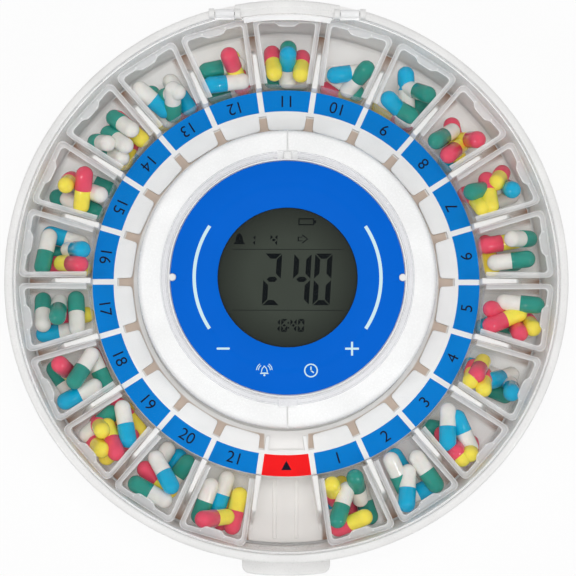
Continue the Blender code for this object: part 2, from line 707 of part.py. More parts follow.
def hub_housing(parts, tools, material):
    hub = turned("hub_housing", hub_profile(), parts, material)
    posts = []
    for x, y in post_places():
        shoulder = BOARD_TOP + SEAT_GAP
        profile = [(0.0, HUB_CEILING + JOIN_DEPTH), (POST_RADIUS, HUB_CEILING + JOIN_DEPTH)]
        profile += [(POST_RADIUS, shoulder), (POST_NECK_RADIUS, shoulder)]
        profile += [(POST_NECK_RADIUS, COLUMN_TOP + SEAT_GAP), (0.0, COLUMN_TOP + SEAT_GAP)]
        post = turned("post", profile, tools, facets=TINY_FACETS, closed=False)
        post.location = (x, y, 0.0)
        posts.append(post)
    ear_top = GEAR_TOP + MOTOR_LIFT + MOTOR_HEIGHT
    for side in (-1, 1):
        low, high = ear_top + SEAT_GAP, HUB_CEILING + JOIN_DEPTH
        centre = (side * (MOTOR_EAR_REACH - MOTOR_POST_RADIUS), PINION_DISTANCE, (low + high) / 2)
        posts.append(cylinder("motor_post", MOTOR_POST_RADIUS, high - low, centre, (0, 0, 1), tools,
                              facets=TINY_FACETS))
    join(hub, merged("hub_posts", posts, tools))
    pips = [cylinder("pip", PIP_RADIUS, BOSS_TOP - RECESS_FLOOR + JOIN_DEPTH,
                     (side * PIP_ORBIT, 0.0, (BOSS_TOP + RECESS_FLOOR - JOIN_DEPTH) / 2), (0, 0, 1),
                     tools, facets=TINY_FACETS) for side in (-1, 1)]
    join(hub, merged("face_pips", pips, tools))
    key_half = COLLAR_KEY_WIDTH / 2
    key_low = (-key_half, BOSS_RADIUS - JOIN_DEPTH, SHOULDER_HEIGHT - JOIN_DEPTH)
    key_high = (key_half, COLLAR_OUTER, SHOULDER_HEIGHT + COLLAR_KEY_HEIGHT)
    join(hub, box("collar_key", key_low, key_high, tools))
    holes = [cylinder("key_hole", KEY_RADIUS + SEAT_GAP, 2 * HUB_WALL + CUT_OVERRUN, point
                      + Vector((0, 0, HUB_CEILING)), (0, 0, 1), tools, facets=TINY_FACETS)
             for point in key_places()]
    cut(hub, merged("key_holes", holes, tools))
    seams = []
    for side in (-1, 1):
        near, far = sorted((side * (COLLAR_OUTER + SEAT_GAP), side * (HUB_RADIUS + CUT_OVERRUN)))
        seams.append(box("seam", (-SEAM_WIDTH / 2, near, SHOULDER_HEIGHT - SEAM_DEPTH),
                         (SEAM_WIDTH / 2, far, SHOULDER_HEIGHT + CUT_OVERRUN), tools))
    cut(hub, merged("shoulder_seams", seams, tools))
    return hub


def faceplate(parts, tools, material):
    hole = LCD_RADIUS + SEAT_GAP
    profile = [(hole, FACE_TOP), (FACE_RADIUS, FACE_TOP), (FACE_RADIUS, FACE_BOTTOM), (hole, FACE_BOTTOM)]
    face = turned("faceplate", profile, parts, material)
    notches = [cylinder("notch", PIP_RADIUS + SEAT_GAP, 2 * FACE_THICKNESS + CUT_OVERRUN,
                        (side * PIP_ORBIT, 0.0, FACE_TOP), (0, 0, 1), tools, facets=TINY_FACETS)
               for side in (-1, 1)]
    cut(face, merged("face_notches", notches, tools))
    return face


def lcd_lens(parts, material):
    profile = [(0.0, FACE_TOP), (LCD_RADIUS, FACE_TOP), (LCD_RADIUS, FACE_BOTTOM), (0.0, FACE_BOTTOM)]
    return turned("lcd_lens", profile, parts, material, closed=False)


def lcd_panel(parts, material):
    """The display: a round glass that rises into the housing's hole, on a flange below it."""
    flange = LCD_RADIUS + LCD_FLANGE
    flange_top = LCD_BOTTOM + LCD_FLANGE_THICKNESS
    profile = [(0.0, RECESS_FLOOR), (LCD_RADIUS, RECESS_FLOOR), (LCD_RADIUS, flange_top)]
    profile += [(flange, flange_top), (flange, LCD_BOTTOM), (0.0, LCD_BOTTOM)]
    return turned("lcd_panel", profile, parts, material, closed=False)


def circuit_board(parts, material):
    """A round board with a flat that leaves room for the motor, and holes for the housing posts."""
    start = math.degrees(math.asin(BOARD_FLAT / BOARD_RADIUS))
    outline = arc((0.0, 0.0), BOARD_RADIUS, 180 - start, 360 + start, INNER_FACETS // 2)
    holes = [circle(POST_NECK_RADIUS + SEAT_GAP, TINY_FACETS, place) for place in post_places()]
    return plate("circuit_board", [outline] + holes, BOARD_BOTTOM, BOARD_TOP, parts, material)


def keys(parts, material):
    """Plungers under the blue face, each over its switch on the board."""
    flange_top = HUB_CEILING - SEAT_GAP
    flange_bottom = flange_top - KEY_FLANGE_THICKNESS
    head_top = RECESS_FLOOR
    stem_bottom = BOARD_TOP + KEY_TRAVEL + SEAT_GAP
    flange = KEY_RADIUS + KEY_FLANGE
    profile = [(0.0, head_top), (KEY_RADIUS, head_top), (KEY_RADIUS, flange_top), (flange, flange_top)]
    profile += [(flange, flange_bottom), (KEY_STEM_RADIUS, flange_bottom)]
    profile += [(KEY_STEM_RADIUS, stem_bottom), (0.0, stem_bottom)]
    profile = [(radius, height - head_top) for radius, height in profile]
    made = []
    for name, point in zip(KEY_NAMES, key_places()):
        key = turned(name, profile, parts, material, facets=TINY_FACETS, closed=False)
        key.location = point + Vector((0, 0, head_top))
        made.append(key)
    return made


def buzzer(parts, material):
    top = BOARD_BOTTOM - SEAT_GAP
    centre = (0.0, -BUZZER_OFFSET, top - BUZZER_HEIGHT / 2)
    return cylinder("buzzer", BUZZER_RADIUS, BUZZER_HEIGHT, centre, (0, 0, 1), parts, material)


def gear_motor(parts, tools, material):
    """A small geared motor with two ears under the housing's posts and its shaft down in the pinion."""
    bottom = GEAR_TOP + MOTOR_LIFT
    top = bottom + MOTOR_HEIGHT
    shaft_bottom = GEAR_BOTTOM
    profile = [(0.0, top), (MOTOR_RADIUS, top), (MOTOR_RADIUS, bottom), (SHAFT_RADIUS, bottom)]
    profile += [(SHAFT_RADIUS, shaft_bottom), (0.0, shaft_bottom)]
    motor = turned("gear_motor", profile, parts, material, facets=SMALL_FACETS, closed=False)
    motor.location = (0.0, PINION_DISTANCE, 0.0)
    ear_half = MOTOR_EAR_WIDTH / 2
    ear_low = (-MOTOR_EAR_REACH, PINION_DISTANCE - ear_half, top - MOTOR_EAR_THICKNESS)
    join(motor, box("motor_ears", ear_low, (MOTOR_EAR_REACH, PINION_DISTANCE + ear_half, top), tools))
    return motor


def involute_gear(teeth, module, tip, root, thickness, phase):
    """Outline of an external gear: involute flanks between a root and a tip radius.
    The thickness is that of a tooth on the pitch circle, and the phase is the first tooth's angle."""
    pitch = module * teeth / 2
    base = pitch * math.cos(math.radians(PRESSURE_ANGLE))

    def flank_angle(radius):
        """Half the angle that a tooth spans at a radius."""
        grip = math.acos(min(1.0, base / max(radius, base)))
        pitch_grip = math.radians(PRESSURE_ANGLE)
        involute = math.tan(grip) - grip
        pitch_involute = math.tan(pitch_grip) - pitch_grip
        return thickness / (2 * pitch) + pitch_involute - involute

    radii = [root, (max(base, root) + tip) / 2, tip]
    points = []
    for tooth in range(teeth):
        middle = phase + 2 * math.pi * tooth / teeth
        for radius in radii:
            angle = middle - flank_angle(radius)
            points.append((radius * math.cos(angle), radius * math.sin(angle)))
        for radius in reversed(radii):
            angle = middle + flank_angle(radius)
            points.append((radius * math.cos(angle), radius * math.sin(angle)))
    return points


def drive_pinion(parts, material):
    """The motor's pinion, with one tooth centred in a space of the ring gear."""
    module = GEAR_MODULE
    tip = PINION_PITCH_RADIUS + PINION_ADDENDUM_SHARE * module
    root = PINION_PITCH_RADIUS - PINION_DEDENDUM_SHARE * module
    thickness = math.pi * module / 2 - GEAR_BACKLASH / 2
    outline = involute_gear(PINION_TEETH, module, tip, root, thickness, math.pi / 2)
    bore = circle(SHAFT_RADIUS + SEAT_GAP, TINY_FACETS)
    bottom, top = GEAR_BOTTOM + PINION_SIDE_GAP, GEAR_TOP - PINION_SIDE_GAP
    pinion = plate("drive_pinion", [outline, bore], bottom, top, parts, material)
    pinion.location += Vector((0.0, PINION_DISTANCE, 0.0))
    return pinion


def cover_height(radius):
    """Underside of the cover: flat over the hub, then a low dome down to the rim."""
    if radius <= HUB_RADIUS:
        return COVER_MIDDLE_BOTTOM
    share = (radius - HUB_RADIUS) / (COVER_RADIUS - HUB_RADIUS)
    return COVER_MIDDLE_BOTTOM - COVER_RISE * share ** 2


def window_outline():
    """Plan of the exit window: a home cup's own opening, lying at the front."""
    inner, outer = CUP_INNER, COVER_RADIUS - WINDOW_BORDER
    near = CUP_HALF_INNER * WINDOW_SIDE_SHARE
    far = bay_half_width(outer) * WINDOW_SIDE_SHARE
    return [(-near, -inner), (-far, -math.sqrt(outer ** 2 - far ** 2)), (0.0, -outer),
            (far, -math.sqrt(outer ** 2 - far ** 2)), (near, -inner)]


def clear_cover(parts, tools, material):
    top = COVER_MIDDLE_BOTTOM + COLLAR_HEIGHT
    middle_top = COVER_MIDDLE_BOTTOM + COVER_THICKNESS
    radii = [HUB_RADIUS + (COVER_RADIUS - HUB_RADIUS) * share for share in COVER_DOME_SHARES]
    profile = [(COLLAR_INNER, top), (COLLAR_OUTER, top), (COLLAR_OUTER, middle_top)]
    profile += [(radius, cover_height(radius) + COVER_THICKNESS) for radius in radii]
    profile.append((COVER_RADIUS - COVER_EDGE_CHAMFER, COVER_EDGE_TOP))
    profile += [(COVER_RADIUS, COVER_EDGE_TOP - COVER_EDGE_CHAMFER), (COVER_RADIUS, COVER_EDGE_BOTTOM)]
    profile += [(radius, cover_height(radius)) for radius in reversed(radii)]
    profile.append((COLLAR_INNER, COVER_MIDDLE_BOTTOM))
    cover = turned("clear_cover", profile, parts, material, facets=OUTER_FACETS)
    notch_half = COLLAR_NOTCH_WIDTH / 2
    floor = COVER_MIDDLE_BOTTOM - CUT_OVERRUN
    rear_notch = box("rear_notch", (-notch_half, 0.0, floor),
                     (notch_half, COLLAR_OUTER + SEAT_GAP, top + CUT_OVERRUN), tools)
    front_notch = box("front_notch", (-notch_half, -COLLAR_OUTER, middle_top),
                      (notch_half, 0.0, top + CUT_OVERRUN), tools)
    cut(cover, merged("collar_notches", [rear_notch, front_notch], tools))
    catch_half = CATCH_WIDTH / 2
    catch_low = (-catch_half, -(COLLAR_INNER + CATCH_LENGTH), COVER_MIDDLE_BOTTOM + JOIN_DEPTH)
    catch_high = (catch_half, -(COLLAR_INNER + SEAT_GAP), top + JOIN_DEPTH)
    join(cover, box("catch_block", catch_low, catch_high, tools))
    cut(cover, plate("exit_window", [window_outline()], LEDGE_HEIGHT - CUT_OVERRUN, top, tools))
    back = COVER_RADIUS + CUT_OVERRUN
    tongue = HINGE_INNER_X - SEAT_GAP
    rear = [(COVER_RADIUS, COVER_REAR), (COVER_RADIUS, back), (-COVER_RADIUS, back)]
    rear += [(-COVER_RADIUS, COVER_REAR), (-tongue, COVER_REAR)]
    rear += rear_arc(HINGE_Y - SEAT_GAP, tongue, REAR_POINTS)
    rear.append((tongue, COVER_REAR))
    cut(cover, plate("rear_trim", [rear], LEDGE_HEIGHT - CUT_OVERRUN, top, tools))
    lugs = []
    half = BARREL_LENGTH / 2
    for side in (-1, 1):
        middle = side * HINGE_OFFSET
        low = (middle - half, COVER_REAR - half, COVER_EDGE_BOTTOM + JOIN_DEPTH / 2)
        lugs.append(box("lug", low, (middle + half, HINGE_Y, COVER_EDGE_TOP), tools))
    join(cover, merged("hinge_lugs", lugs, tools))
    bores = []
    barrels = []
    for side in (-1, 1):
        middle = side * HINGE_OFFSET
        centre = (middle, HINGE_Y, HINGE_Z)
        barrels.append(cylinder("barrel", BARREL_RADIUS, BARREL_LENGTH, centre, (1, 0, 0), tools))
        bores.append(cylinder("barrel_bore", PIN_RADIUS + SEAT_GAP, BARREL_LENGTH + CUT_OVERRUN, centre,
                              (1, 0, 0), tools, facets=TINY_FACETS))
    join(cover, merged("hinge_barrels", barrels, tools))
    cut(cover, merged("barrel_bores", bores, tools))
    return cover


def hinge_pins(parts, material):
    pins = []
    length = BARREL_LENGTH + 2 * (SEAT_GAP + EAR_LENGTH)
    for name, side in (("hinge_pin_left", -1), ("hinge_pin_right", 1)):
        centre = (side * HINGE_OFFSET, HINGE_Y, HINGE_Z)
        pins.append(cylinder(name, PIN_RADIUS, length, centre, (1, 0, 0), parts, material,
                             facets=TINY_FACETS))
    return pins


def tray_profile():
    """Section of the carousel: gear flange, sleeve on the column, ring deck, bay wall and bay floor."""
    profile = [(HUB_RADIUS + DECK_INSET, DECK_TOP), (BAY_INNER, DECK_TOP)]
    profile += [(BAY_INNER, TRAY_FLOOR_TOP), (TRAY_RADIUS, TRAY_FLOOR_TOP), (TRAY_RADIUS, TRAY_BOTTOM)]
    profile += [(BAY_WALL_INNER, TRAY_BOTTOM), (BAY_WALL_INNER, GEAR_TOP), (SLEEVE_OUTER, GEAR_TOP)]
    profile += [(SLEEVE_OUTER, SLEEVE_BOTTOM), (SLEEVE_INNER, SLEEVE_BOTTOM), (SLEEVE_INNER, GEAR_BOTTOM)]
    profile += [(RING_GEAR_TIP, GEAR_BOTTOM), (RING_GEAR_TIP, GEAR_TOP), (HUB_RADIUS + DECK_INSET, GEAR_TOP)]
    return profile


def rib_outline():
    """Side view of one rib: a level crest, then an S-shaped fall to a low toe."""
    bottom = TRAY_BOTTOM + TRAY_FLOOR / 2
    crest = CUP_TOP - RIB_DROP
    root = BAY_INNER - JOIN_DEPTH
    shelf = DECK_TOP - JOIN_DEPTH
    crest_end = BAY_INNER + RIB_CREST_LENGTH
    curve_end = crest_end + RIB_CURVE_LENGTH
    toe = curve_end + RIB_TOE_LENGTH
    toe_top = TRAY_FLOOR_TOP + RIB_TOE_HEIGHT
    points = [(root, bottom), (toe, bottom), (toe, toe_top)]
    for share in RIB_CURVE_SHARES:
        drop = 0.5 - 0.5 * math.cos(math.pi * share)
        points.append((crest_end + (curve_end - crest_end) * share, crest + (toe_top - crest) * drop))
    upper_root = BAY_INNER - SEAT_GAP / 2
    points += [(upper_root, crest), (upper_root, shelf), (root, shelf)]
    return points


def carousel_tray(parts, tools, material):
    tray = turned("carousel_tray", tray_profile(), parts, material)
    rib = plate("rib", [rib_outline()], -RIB_THICKNESS / 2, RIB_THICKNESS / 2, tools)
    rib.matrix_world = Matrix.Rotation(math.pi / 2, 4, "X")
    angles = [HOME_ANGLE + HALF_BAY + index * BAY_ANGLE for index in range(BAY_COUNT)]
    join(tray, merged("bay_ribs", spin_copies(rib, angles, tools), tools))
    low, high = BAY_INNER + FLOOR_RIB_MARGIN, TRAY_RADIUS - FLOOR_RIB_MARGIN
    strips = []
    for side in (-1, 1):
        near = side * FLOOR_RIB_OFFSET - FLOOR_RIB_WIDTH / 2
        strips.append(box("strip", (near, -high, TRAY_BOTTOM + TRAY_FLOOR / 2),
                          (near + FLOOR_RIB_WIDTH, -low, TRAY_FLOOR_TOP + FLOOR_RIB_HEIGHT), tools))
    join(tray, merged("home_floor_ribs", strips, tools))
    space = math.pi * GEAR_MODULE / 2 + GEAR_BACKLASH / 2
    inner = RING_GEAR_TIP - JOIN_DEPTH
    outline = involute_gear(RING_TEETH, GEAR_MODULE, RING_GEAR_ROOT, inner, space, math.pi / 2)
    bottom, top = GEAR_BOTTOM - CUT_OVERRUN / 2, GEAR_TOP + CUT_OVERRUN / 2
    cut(tray, plate("ring_gear_spaces", [outline], bottom, top, tools))
    return tray


def bay_point(radial, across, middle):
    """A plan point of a bay, from its distance out and its distance across the bay's middle line."""
    cos, sin = math.cos(middle), math.sin(middle)
    return (radial * cos - across * sin, radial * sin + across * cos)


def ring_inner_outline():
    """Inner edge of the numbered ring: a block in each numbered bay, two thin bars at the home bay."""
    points = []

    def side_at(radial, margin):
        return radial * math.tan(HALF_BAY) - margin / math.cos(HALF_BAY)

    for index in range(BAY_COUNT):
        middle = HOME_ANGLE + index * BAY_ANGLE
        if index == 0:
            bar = WINDOW_BAR_GAP - BLOCK_SPACING / 2
            for way in (-1, 1):
                edges = [(way * side_at(radial, margin), radial) for radial, margin in (
                    (RING_INNER, -bar), (BLOCK_INNER, -bar),
                    (BLOCK_INNER, WINDOW_BAR_WIDTH - bar), (RING_INNER, WINDOW_BAR_WIDTH - bar))]
                if way > 0:
                    edges.reverse()
                points += [bay_point(radial, across, middle) for across, radial in edges]
            continue
        near = side_at(BLOCK_INNER, BLOCK_SPACING / 2)
        far = side_at(RING_INNER, BLOCK_SPACING / 2)
        corner = BLOCK_CORNER
        local = [(RING_INNER, -far), (BLOCK_INNER + corner, -near), (BLOCK_INNER, -near + corner)]
        local += [(BLOCK_INNER, near - corner), (BLOCK_INNER + corner, near), (RING_INNER, far)]
        points += [bay_point(radial, across, middle) for radial, across in local]
    return points


def number_ring(parts, material):
    outlines = [circle(RING_OUTER, INNER_FACETS), ring_inner_outline()]
    return plate("number_ring", outlines, RING_BOTTOM, RING_TOP, parts, material)


def cup_outline(inset, height, corner, inner_inset=None):
    """A cup's plan at one height: a round-cornered wedge, drawn in by an inset on every side.
    The end towards the hub can have an inset of its own."""
    inner = CUP_INNER + (inset if inner_inset is None else inner_inset)
    outer = CUP_OUTER - inset
    half_inner, half_outer = CUP_HALF_INNER - inset, CUP_HALF_OUTER - inset
    points = []
    far, near = half_outer - corner, half_inner - corner
    points += arc((outer - corner, far), corner, 0, 90, CORNER_POINTS)
    points += arc((inner + corner, near), corner, 90, 180, CORNER_POINTS)
    points += arc((inner + corner, -near), corner, 180, 270, CORNER_POINTS)
    points += arc((outer - corner, -far), corner, 270, 360, CORNER_POINTS)
    return [Vector((x, y, height)) for x, y in points]


def cup_mesh(name):
    """One cup, grown from its foot by drawing each next section out of the last: outer wall, rim frame,
    then the hollow back down to its floor."""
    top = CUP_HEIGHT
    tight = CUP_CORNER - CUP_WALL
    sections = [cup_outline(CUP_DRAFT, 0.0, CUP_CORNER), cup_outline(0.0, top, CUP_CORNER)]
    sections.append(cup_outline(CUP_FRAME, top, tight, CUP_WALL))
    sections.append(cup_outline(CUP_WALL, top - CUP_FRAME_THICKNESS, tight))
    sections.append(cup_outline(CUP_DRAFT + CUP_WALL, CUP_WALL, tight))
    bm = bmesh.new()
    foot = bm.faces.new([bm.verts.new(point) for point in sections[0]])
    face = foot
    for section in sections[1:]:
        grown = bmesh.ops.extrude_face_region(bm, geom=[face])
        new_face = next(item for item in grown["geom"] if isinstance(item, bmesh.types.BMFace))
        for vert, point in zip(new_face.verts, section):
            vert.co = point
        if face is not foot:
            bmesh.ops.delete(bm, geom=[face], context="FACES_ONLY")
        face = new_face
    return mesh_from(bm, name)


def cups(parts, material):
    """The numbered cups, counted anticlockwise from the home bay, all with one mesh."""
    mesh = cup_mesh("cup")
    mesh.materials.append(material)
    made = []
    for index in range(1, CUP_COUNT + 1):
        cup = add_object(f"cup_{index:02d}", mesh, parts)
        cup.rotation_euler = (0.0, 0.0, HOME_ANGLE + index * BAY_ANGLE)
        cup.location = (0.0, 0.0, CUP_BOTTOM)
        made.append(cup)
    return made


def main():
    clear_scene()
    parts = make_collection(PARTS_NAME)
    tools = make_collection("cutters")
    shell_white = make_material("shell_white", (0.90, 0.89, 0.86), 0.38)
    hub_white = make_material("hub_white", (0.93, 0.93, 0.92), 0.35)
    face_blue = make_material("face_blue", (0.0, 0.13, 0.68), 0.3)
    lcd_olive = make_material("lcd_olive", (0.046, 0.054, 0.044), 0.25)
    clear = make_material("clear_plastic", (0.95, 0.96, 0.96), 0.08, alpha=0.25)
    cup_frost = make_material("cup_frost", (0.88, 0.89, 0.88), 0.3, alpha=0.45)
    rubber = make_material("pad_rubber", (0.05, 0.05, 0.05), 0.8)
    steel = make_material("steel", (0.6, 0.6, 0.6), 0.3, 1.0)
    board_green = make_material("board_green", (0.02, 0.16, 0.07), 0.5)
    black = make_material("black_plastic", (0.03, 0.03, 0.03), 0.5)
    gear_white = make_material("gear_white", (0.85, 0.85, 0.8), 0.45)
    cell_jacket = make_material("cell_jacket", (0.1, 0.11, 0.12), 0.35)

    base_shell(parts, tools, shell_white)
    foot_pads(parts, rubber)
    battery_door(parts, shell_white)
    battery_cells(parts, cell_jacket)
    battery_contact("battery_contact_front", -1, parts, tools, steel)
    battery_contact("battery_contact_rear", 1, parts, tools, steel)
    hub_housing(parts, tools, hub_white)
    faceplate(parts, tools, face_blue)
    lcd_lens(parts, clear)
    lcd_panel(parts, lcd_olive)
    circuit_board(parts, board_green)
    keys(parts, black)
    buzzer(parts, black)
    gear_motor(parts, tools, steel)
    drive_pinion(parts, gear_white)
    hinge_pins(parts, steel)

    cover = clear_cover(parts, tools, clear)
    hang_on(cover, make_empty("cover_hinge_axis", (0.0, HINGE_Y, HINGE_Z), parts))
    tray = carousel_tray(parts, tools, shell_white)
    ring = number_ring(parts, hub_white)
    axis = make_empty("carousel_axis", (0.0, 0.0, 0.0), parts)
    for piece in [tray, ring] + cups(parts, cup_frost):
        hang_on(piece, axis)
    settle_shapes(parts)


main()
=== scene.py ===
"""Dresses the electronic pill box: a white drum with a clear cover, a blue clock face and a ring of
numbered cups full of capsules, on a plain pale stage.

Everything is in metres, in the frame of the packed model: +Z up, the exit side towards -Y."""

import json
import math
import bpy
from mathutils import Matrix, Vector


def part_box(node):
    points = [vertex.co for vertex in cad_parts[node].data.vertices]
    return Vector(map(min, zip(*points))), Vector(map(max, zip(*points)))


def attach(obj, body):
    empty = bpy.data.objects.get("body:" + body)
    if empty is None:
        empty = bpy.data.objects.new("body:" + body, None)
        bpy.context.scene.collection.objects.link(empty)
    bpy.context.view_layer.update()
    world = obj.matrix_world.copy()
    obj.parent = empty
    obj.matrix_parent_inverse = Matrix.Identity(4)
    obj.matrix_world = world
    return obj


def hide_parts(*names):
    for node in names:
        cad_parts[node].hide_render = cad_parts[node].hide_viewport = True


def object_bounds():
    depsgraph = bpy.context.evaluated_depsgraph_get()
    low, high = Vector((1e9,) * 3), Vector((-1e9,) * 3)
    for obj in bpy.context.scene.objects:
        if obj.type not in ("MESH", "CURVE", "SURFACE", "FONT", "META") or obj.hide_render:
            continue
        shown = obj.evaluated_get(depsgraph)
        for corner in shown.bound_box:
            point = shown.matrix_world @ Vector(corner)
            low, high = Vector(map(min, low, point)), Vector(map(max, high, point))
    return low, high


bl_info = {
    "name": "Electronic pill box",
    "version": (1, 0, 0),
    "blender": (4, 5, 0),
    "location": "3D View > Sidebar > Pill box",
    "description": "Builds the dressed pill box piece by piece on its packed frame",
    "category": "Object",
}

import bmesh
import bpy
from bpy.props import FloatProperty, FloatVectorProperty, PointerProperty
from mathutils import Matrix, Vector

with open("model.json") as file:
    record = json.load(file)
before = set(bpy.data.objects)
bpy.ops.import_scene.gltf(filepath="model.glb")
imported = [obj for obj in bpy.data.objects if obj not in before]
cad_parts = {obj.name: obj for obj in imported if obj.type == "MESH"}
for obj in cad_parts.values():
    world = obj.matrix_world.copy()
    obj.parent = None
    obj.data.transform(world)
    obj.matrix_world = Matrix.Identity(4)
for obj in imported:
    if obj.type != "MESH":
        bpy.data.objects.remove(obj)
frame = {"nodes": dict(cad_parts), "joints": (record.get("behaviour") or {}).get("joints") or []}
CAD_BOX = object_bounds()


def corners(node):
    """Lowest and highest corner of a packed node."""
    return [Vector(corner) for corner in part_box(node)]


# Places and radii that the packed model gives
BASE_LOW, BASE_HIGH = corners("base_shell")
HUB_HIGH = corners("hub_housing")[1]
FACE_LOW, FACE_HIGH = corners("faceplate")
LENS_LOW, LENS_HIGH = corners("lcd_lens")
PANEL_LOW, PANEL_HIGH = corners("lcd_panel")
RING_LOW, RING_HIGH = corners("number_ring")
TRAY_LOW, TRAY_HIGH = corners("carousel_tray")
CUP_LOW, CUP_HIGH = corners("cup_11")
COVER_HIGH = corners("clear_cover")[1]
DOOR_HIGH = corners("battery_door")[1]
PIN_LOW, PIN_HIGH = corners("hinge_pin_right")
HINGE = Vector(next(joint for joint in frame["joints"] if joint["name"] == "cover_hinge")["pos_m"])

# Bays round the carousel, counted from the home bay at the exit side
BAYS = 22
BAY_ANGLE = 2 * math.pi / BAYS
HALF_BAY = BAY_ANGLE / 2
HOME = -math.pi / 2
BAY_INNER = RING_HIGH.x + 0.0003

# Facets of a full turn and steps of the curves
ROUND = 264
RIB_STEPS = 18
FLARE_STEPS = 12
NOTCH_STEPS = 7

# Small distances: a printed layer, the play round a seated piece, a pocket's wall, how far a cut runs on
HAIR = 0.00003
SEAT_GAP = 0.0003
POCKET_WALL = 0.0012
CUT_BELOW = 0.002

# Share of a bay's width that the exit window opens, and a millimetre in metres
WINDOW_SHARE = 0.96
MM = 0.001


# Sizes and colours that a user would change

def a_length(name, description, default):
    """A length property, in metres."""
    return FloatProperty(name=name, description=description, default=default, unit="LENGTH")


def an_angle(name, description, degrees):
    """An angle property, in radians."""
    return FloatProperty(name=name, description=description, default=math.radians(degrees), subtype="ANGLE")


def a_number(name, description, default):
    """A plain number property."""
    return FloatProperty(name=name, description=description, default=default)


def a_colour(name, description, default):
    """A colour property, linear red, green and blue."""
    return FloatVectorProperty(name=name, description=description, default=default, subtype="COLOR", size=3,
                               min=0.0, max=1.0)


class PillBoxDrumSizes(bpy.types.PropertyGroup):
    """Sizes of the outer drum and the hinge at its rear"""

    wall: a_length("Wall", "Thickness of the drum's side", 0.0018)
    floor: a_length("Floor", "Thickness of the drum's floor", 0.0025)
    rim_width: a_length("Rim width", "Rim outside the cover's ledge", 0.0034)
    rim_proud: a_length("Rim rise", "Top of the rim above the hinge's axis", 0.0004)
    ledge_width: a_length("Ledge width", "Ledge that the cover lies on", 0.0009)
    ledge_drop: a_length("Ledge drop", "Ledge below the top of the rim", 0.0025)
    flare_height: a_length("Flare", "Height over which the side widens to the rim", 0.012)
    foot_round: a_length("Foot rounding", "Rounding of the lower edge", 0.0035)
    lip_width: a_length("Lip width", "Width of the front lip", 0.035)
    lip_height: a_length("Lip height", "Underside of the front lip", 0.0205)
    lip_thickness: a_length("Lip thickness", "Thickness of the front lip", 0.0032)
    lip_corner: a_length("Lip corner", "Corner radius of the front lip", 0.0034)
    column_wall: a_length("Column wall", "Wall of the carousel's bearing", 0.0018)
    column_top: a_length("Column top", "Top of the bearing column", 0.0188)
    ear_radius: a_length("Hinge ear", "Radius of a hinge ear", 0.002)
    ear_length: a_length("Ear length", "Length of a hinge ear", 0.0022)
    barrel_length: a_length("Barrel length", "Length of a hinge barrel", 0.0074)
    barrel_radius: a_length("Barrel radius", "Radius of a hinge barrel", 0.0017)
    block_height: a_length("Hinge block", "Height of the rear hinge block", 0.0045)


class PillBoxHubSizes(bpy.types.PropertyGroup):
    """Sizes of the hub, its blue face and the display"""

    recess_drop: a_length("Face recess", "Depth of the recess for the face", 0.0012)
    boss_rim: a_length("Rim", "White rim round the blue face", 0.0006)
    boss_height: a_length("Boss height", "Face rim above the shoulder", 0.004)
    shoulder_round: a_length("Shoulder rounding", "Rounding of the white shoulder", 0.002)
    wall: a_length("Wall", "Wall of the hub housing", 0.002)
    seam_width: a_length("Seam width", "Width of the shoulder seams", 0.0005)
    collar_width: a_length("Collar width", "Width of the clear collar", 0.0027)
    pip_radius: a_length("Pip", "White half-round pips at the face's edge", 0.00135)
    arc_radius: a_length("Arc radius", "Middle of the white arcs", 0.036)
    arc_width: a_length("Arc width", "Stroke of the white arcs", 0.0013)
    arc_spread: an_angle("Arc spread", "Half the angle of a white arc", 33.4)
    pen: a_length("Pen", "Stroke of the minus and plus signs", 0.0008)
    icon_orbit: a_length("Icon orbit", "Circle that the four icons lie on", 0.037)
    digit_height: a_length("Time digits", "Height of the large digits", 0.0200)
    digit_width: a_length("Digit width", "Width of the large digits", 0.0067)
    digit_stroke: a_length("Digit stroke", "Stroke of the large digits", 0.0020)
    small_stroke: a_length("Small stroke", "Stroke of the small digits", 0.0009)


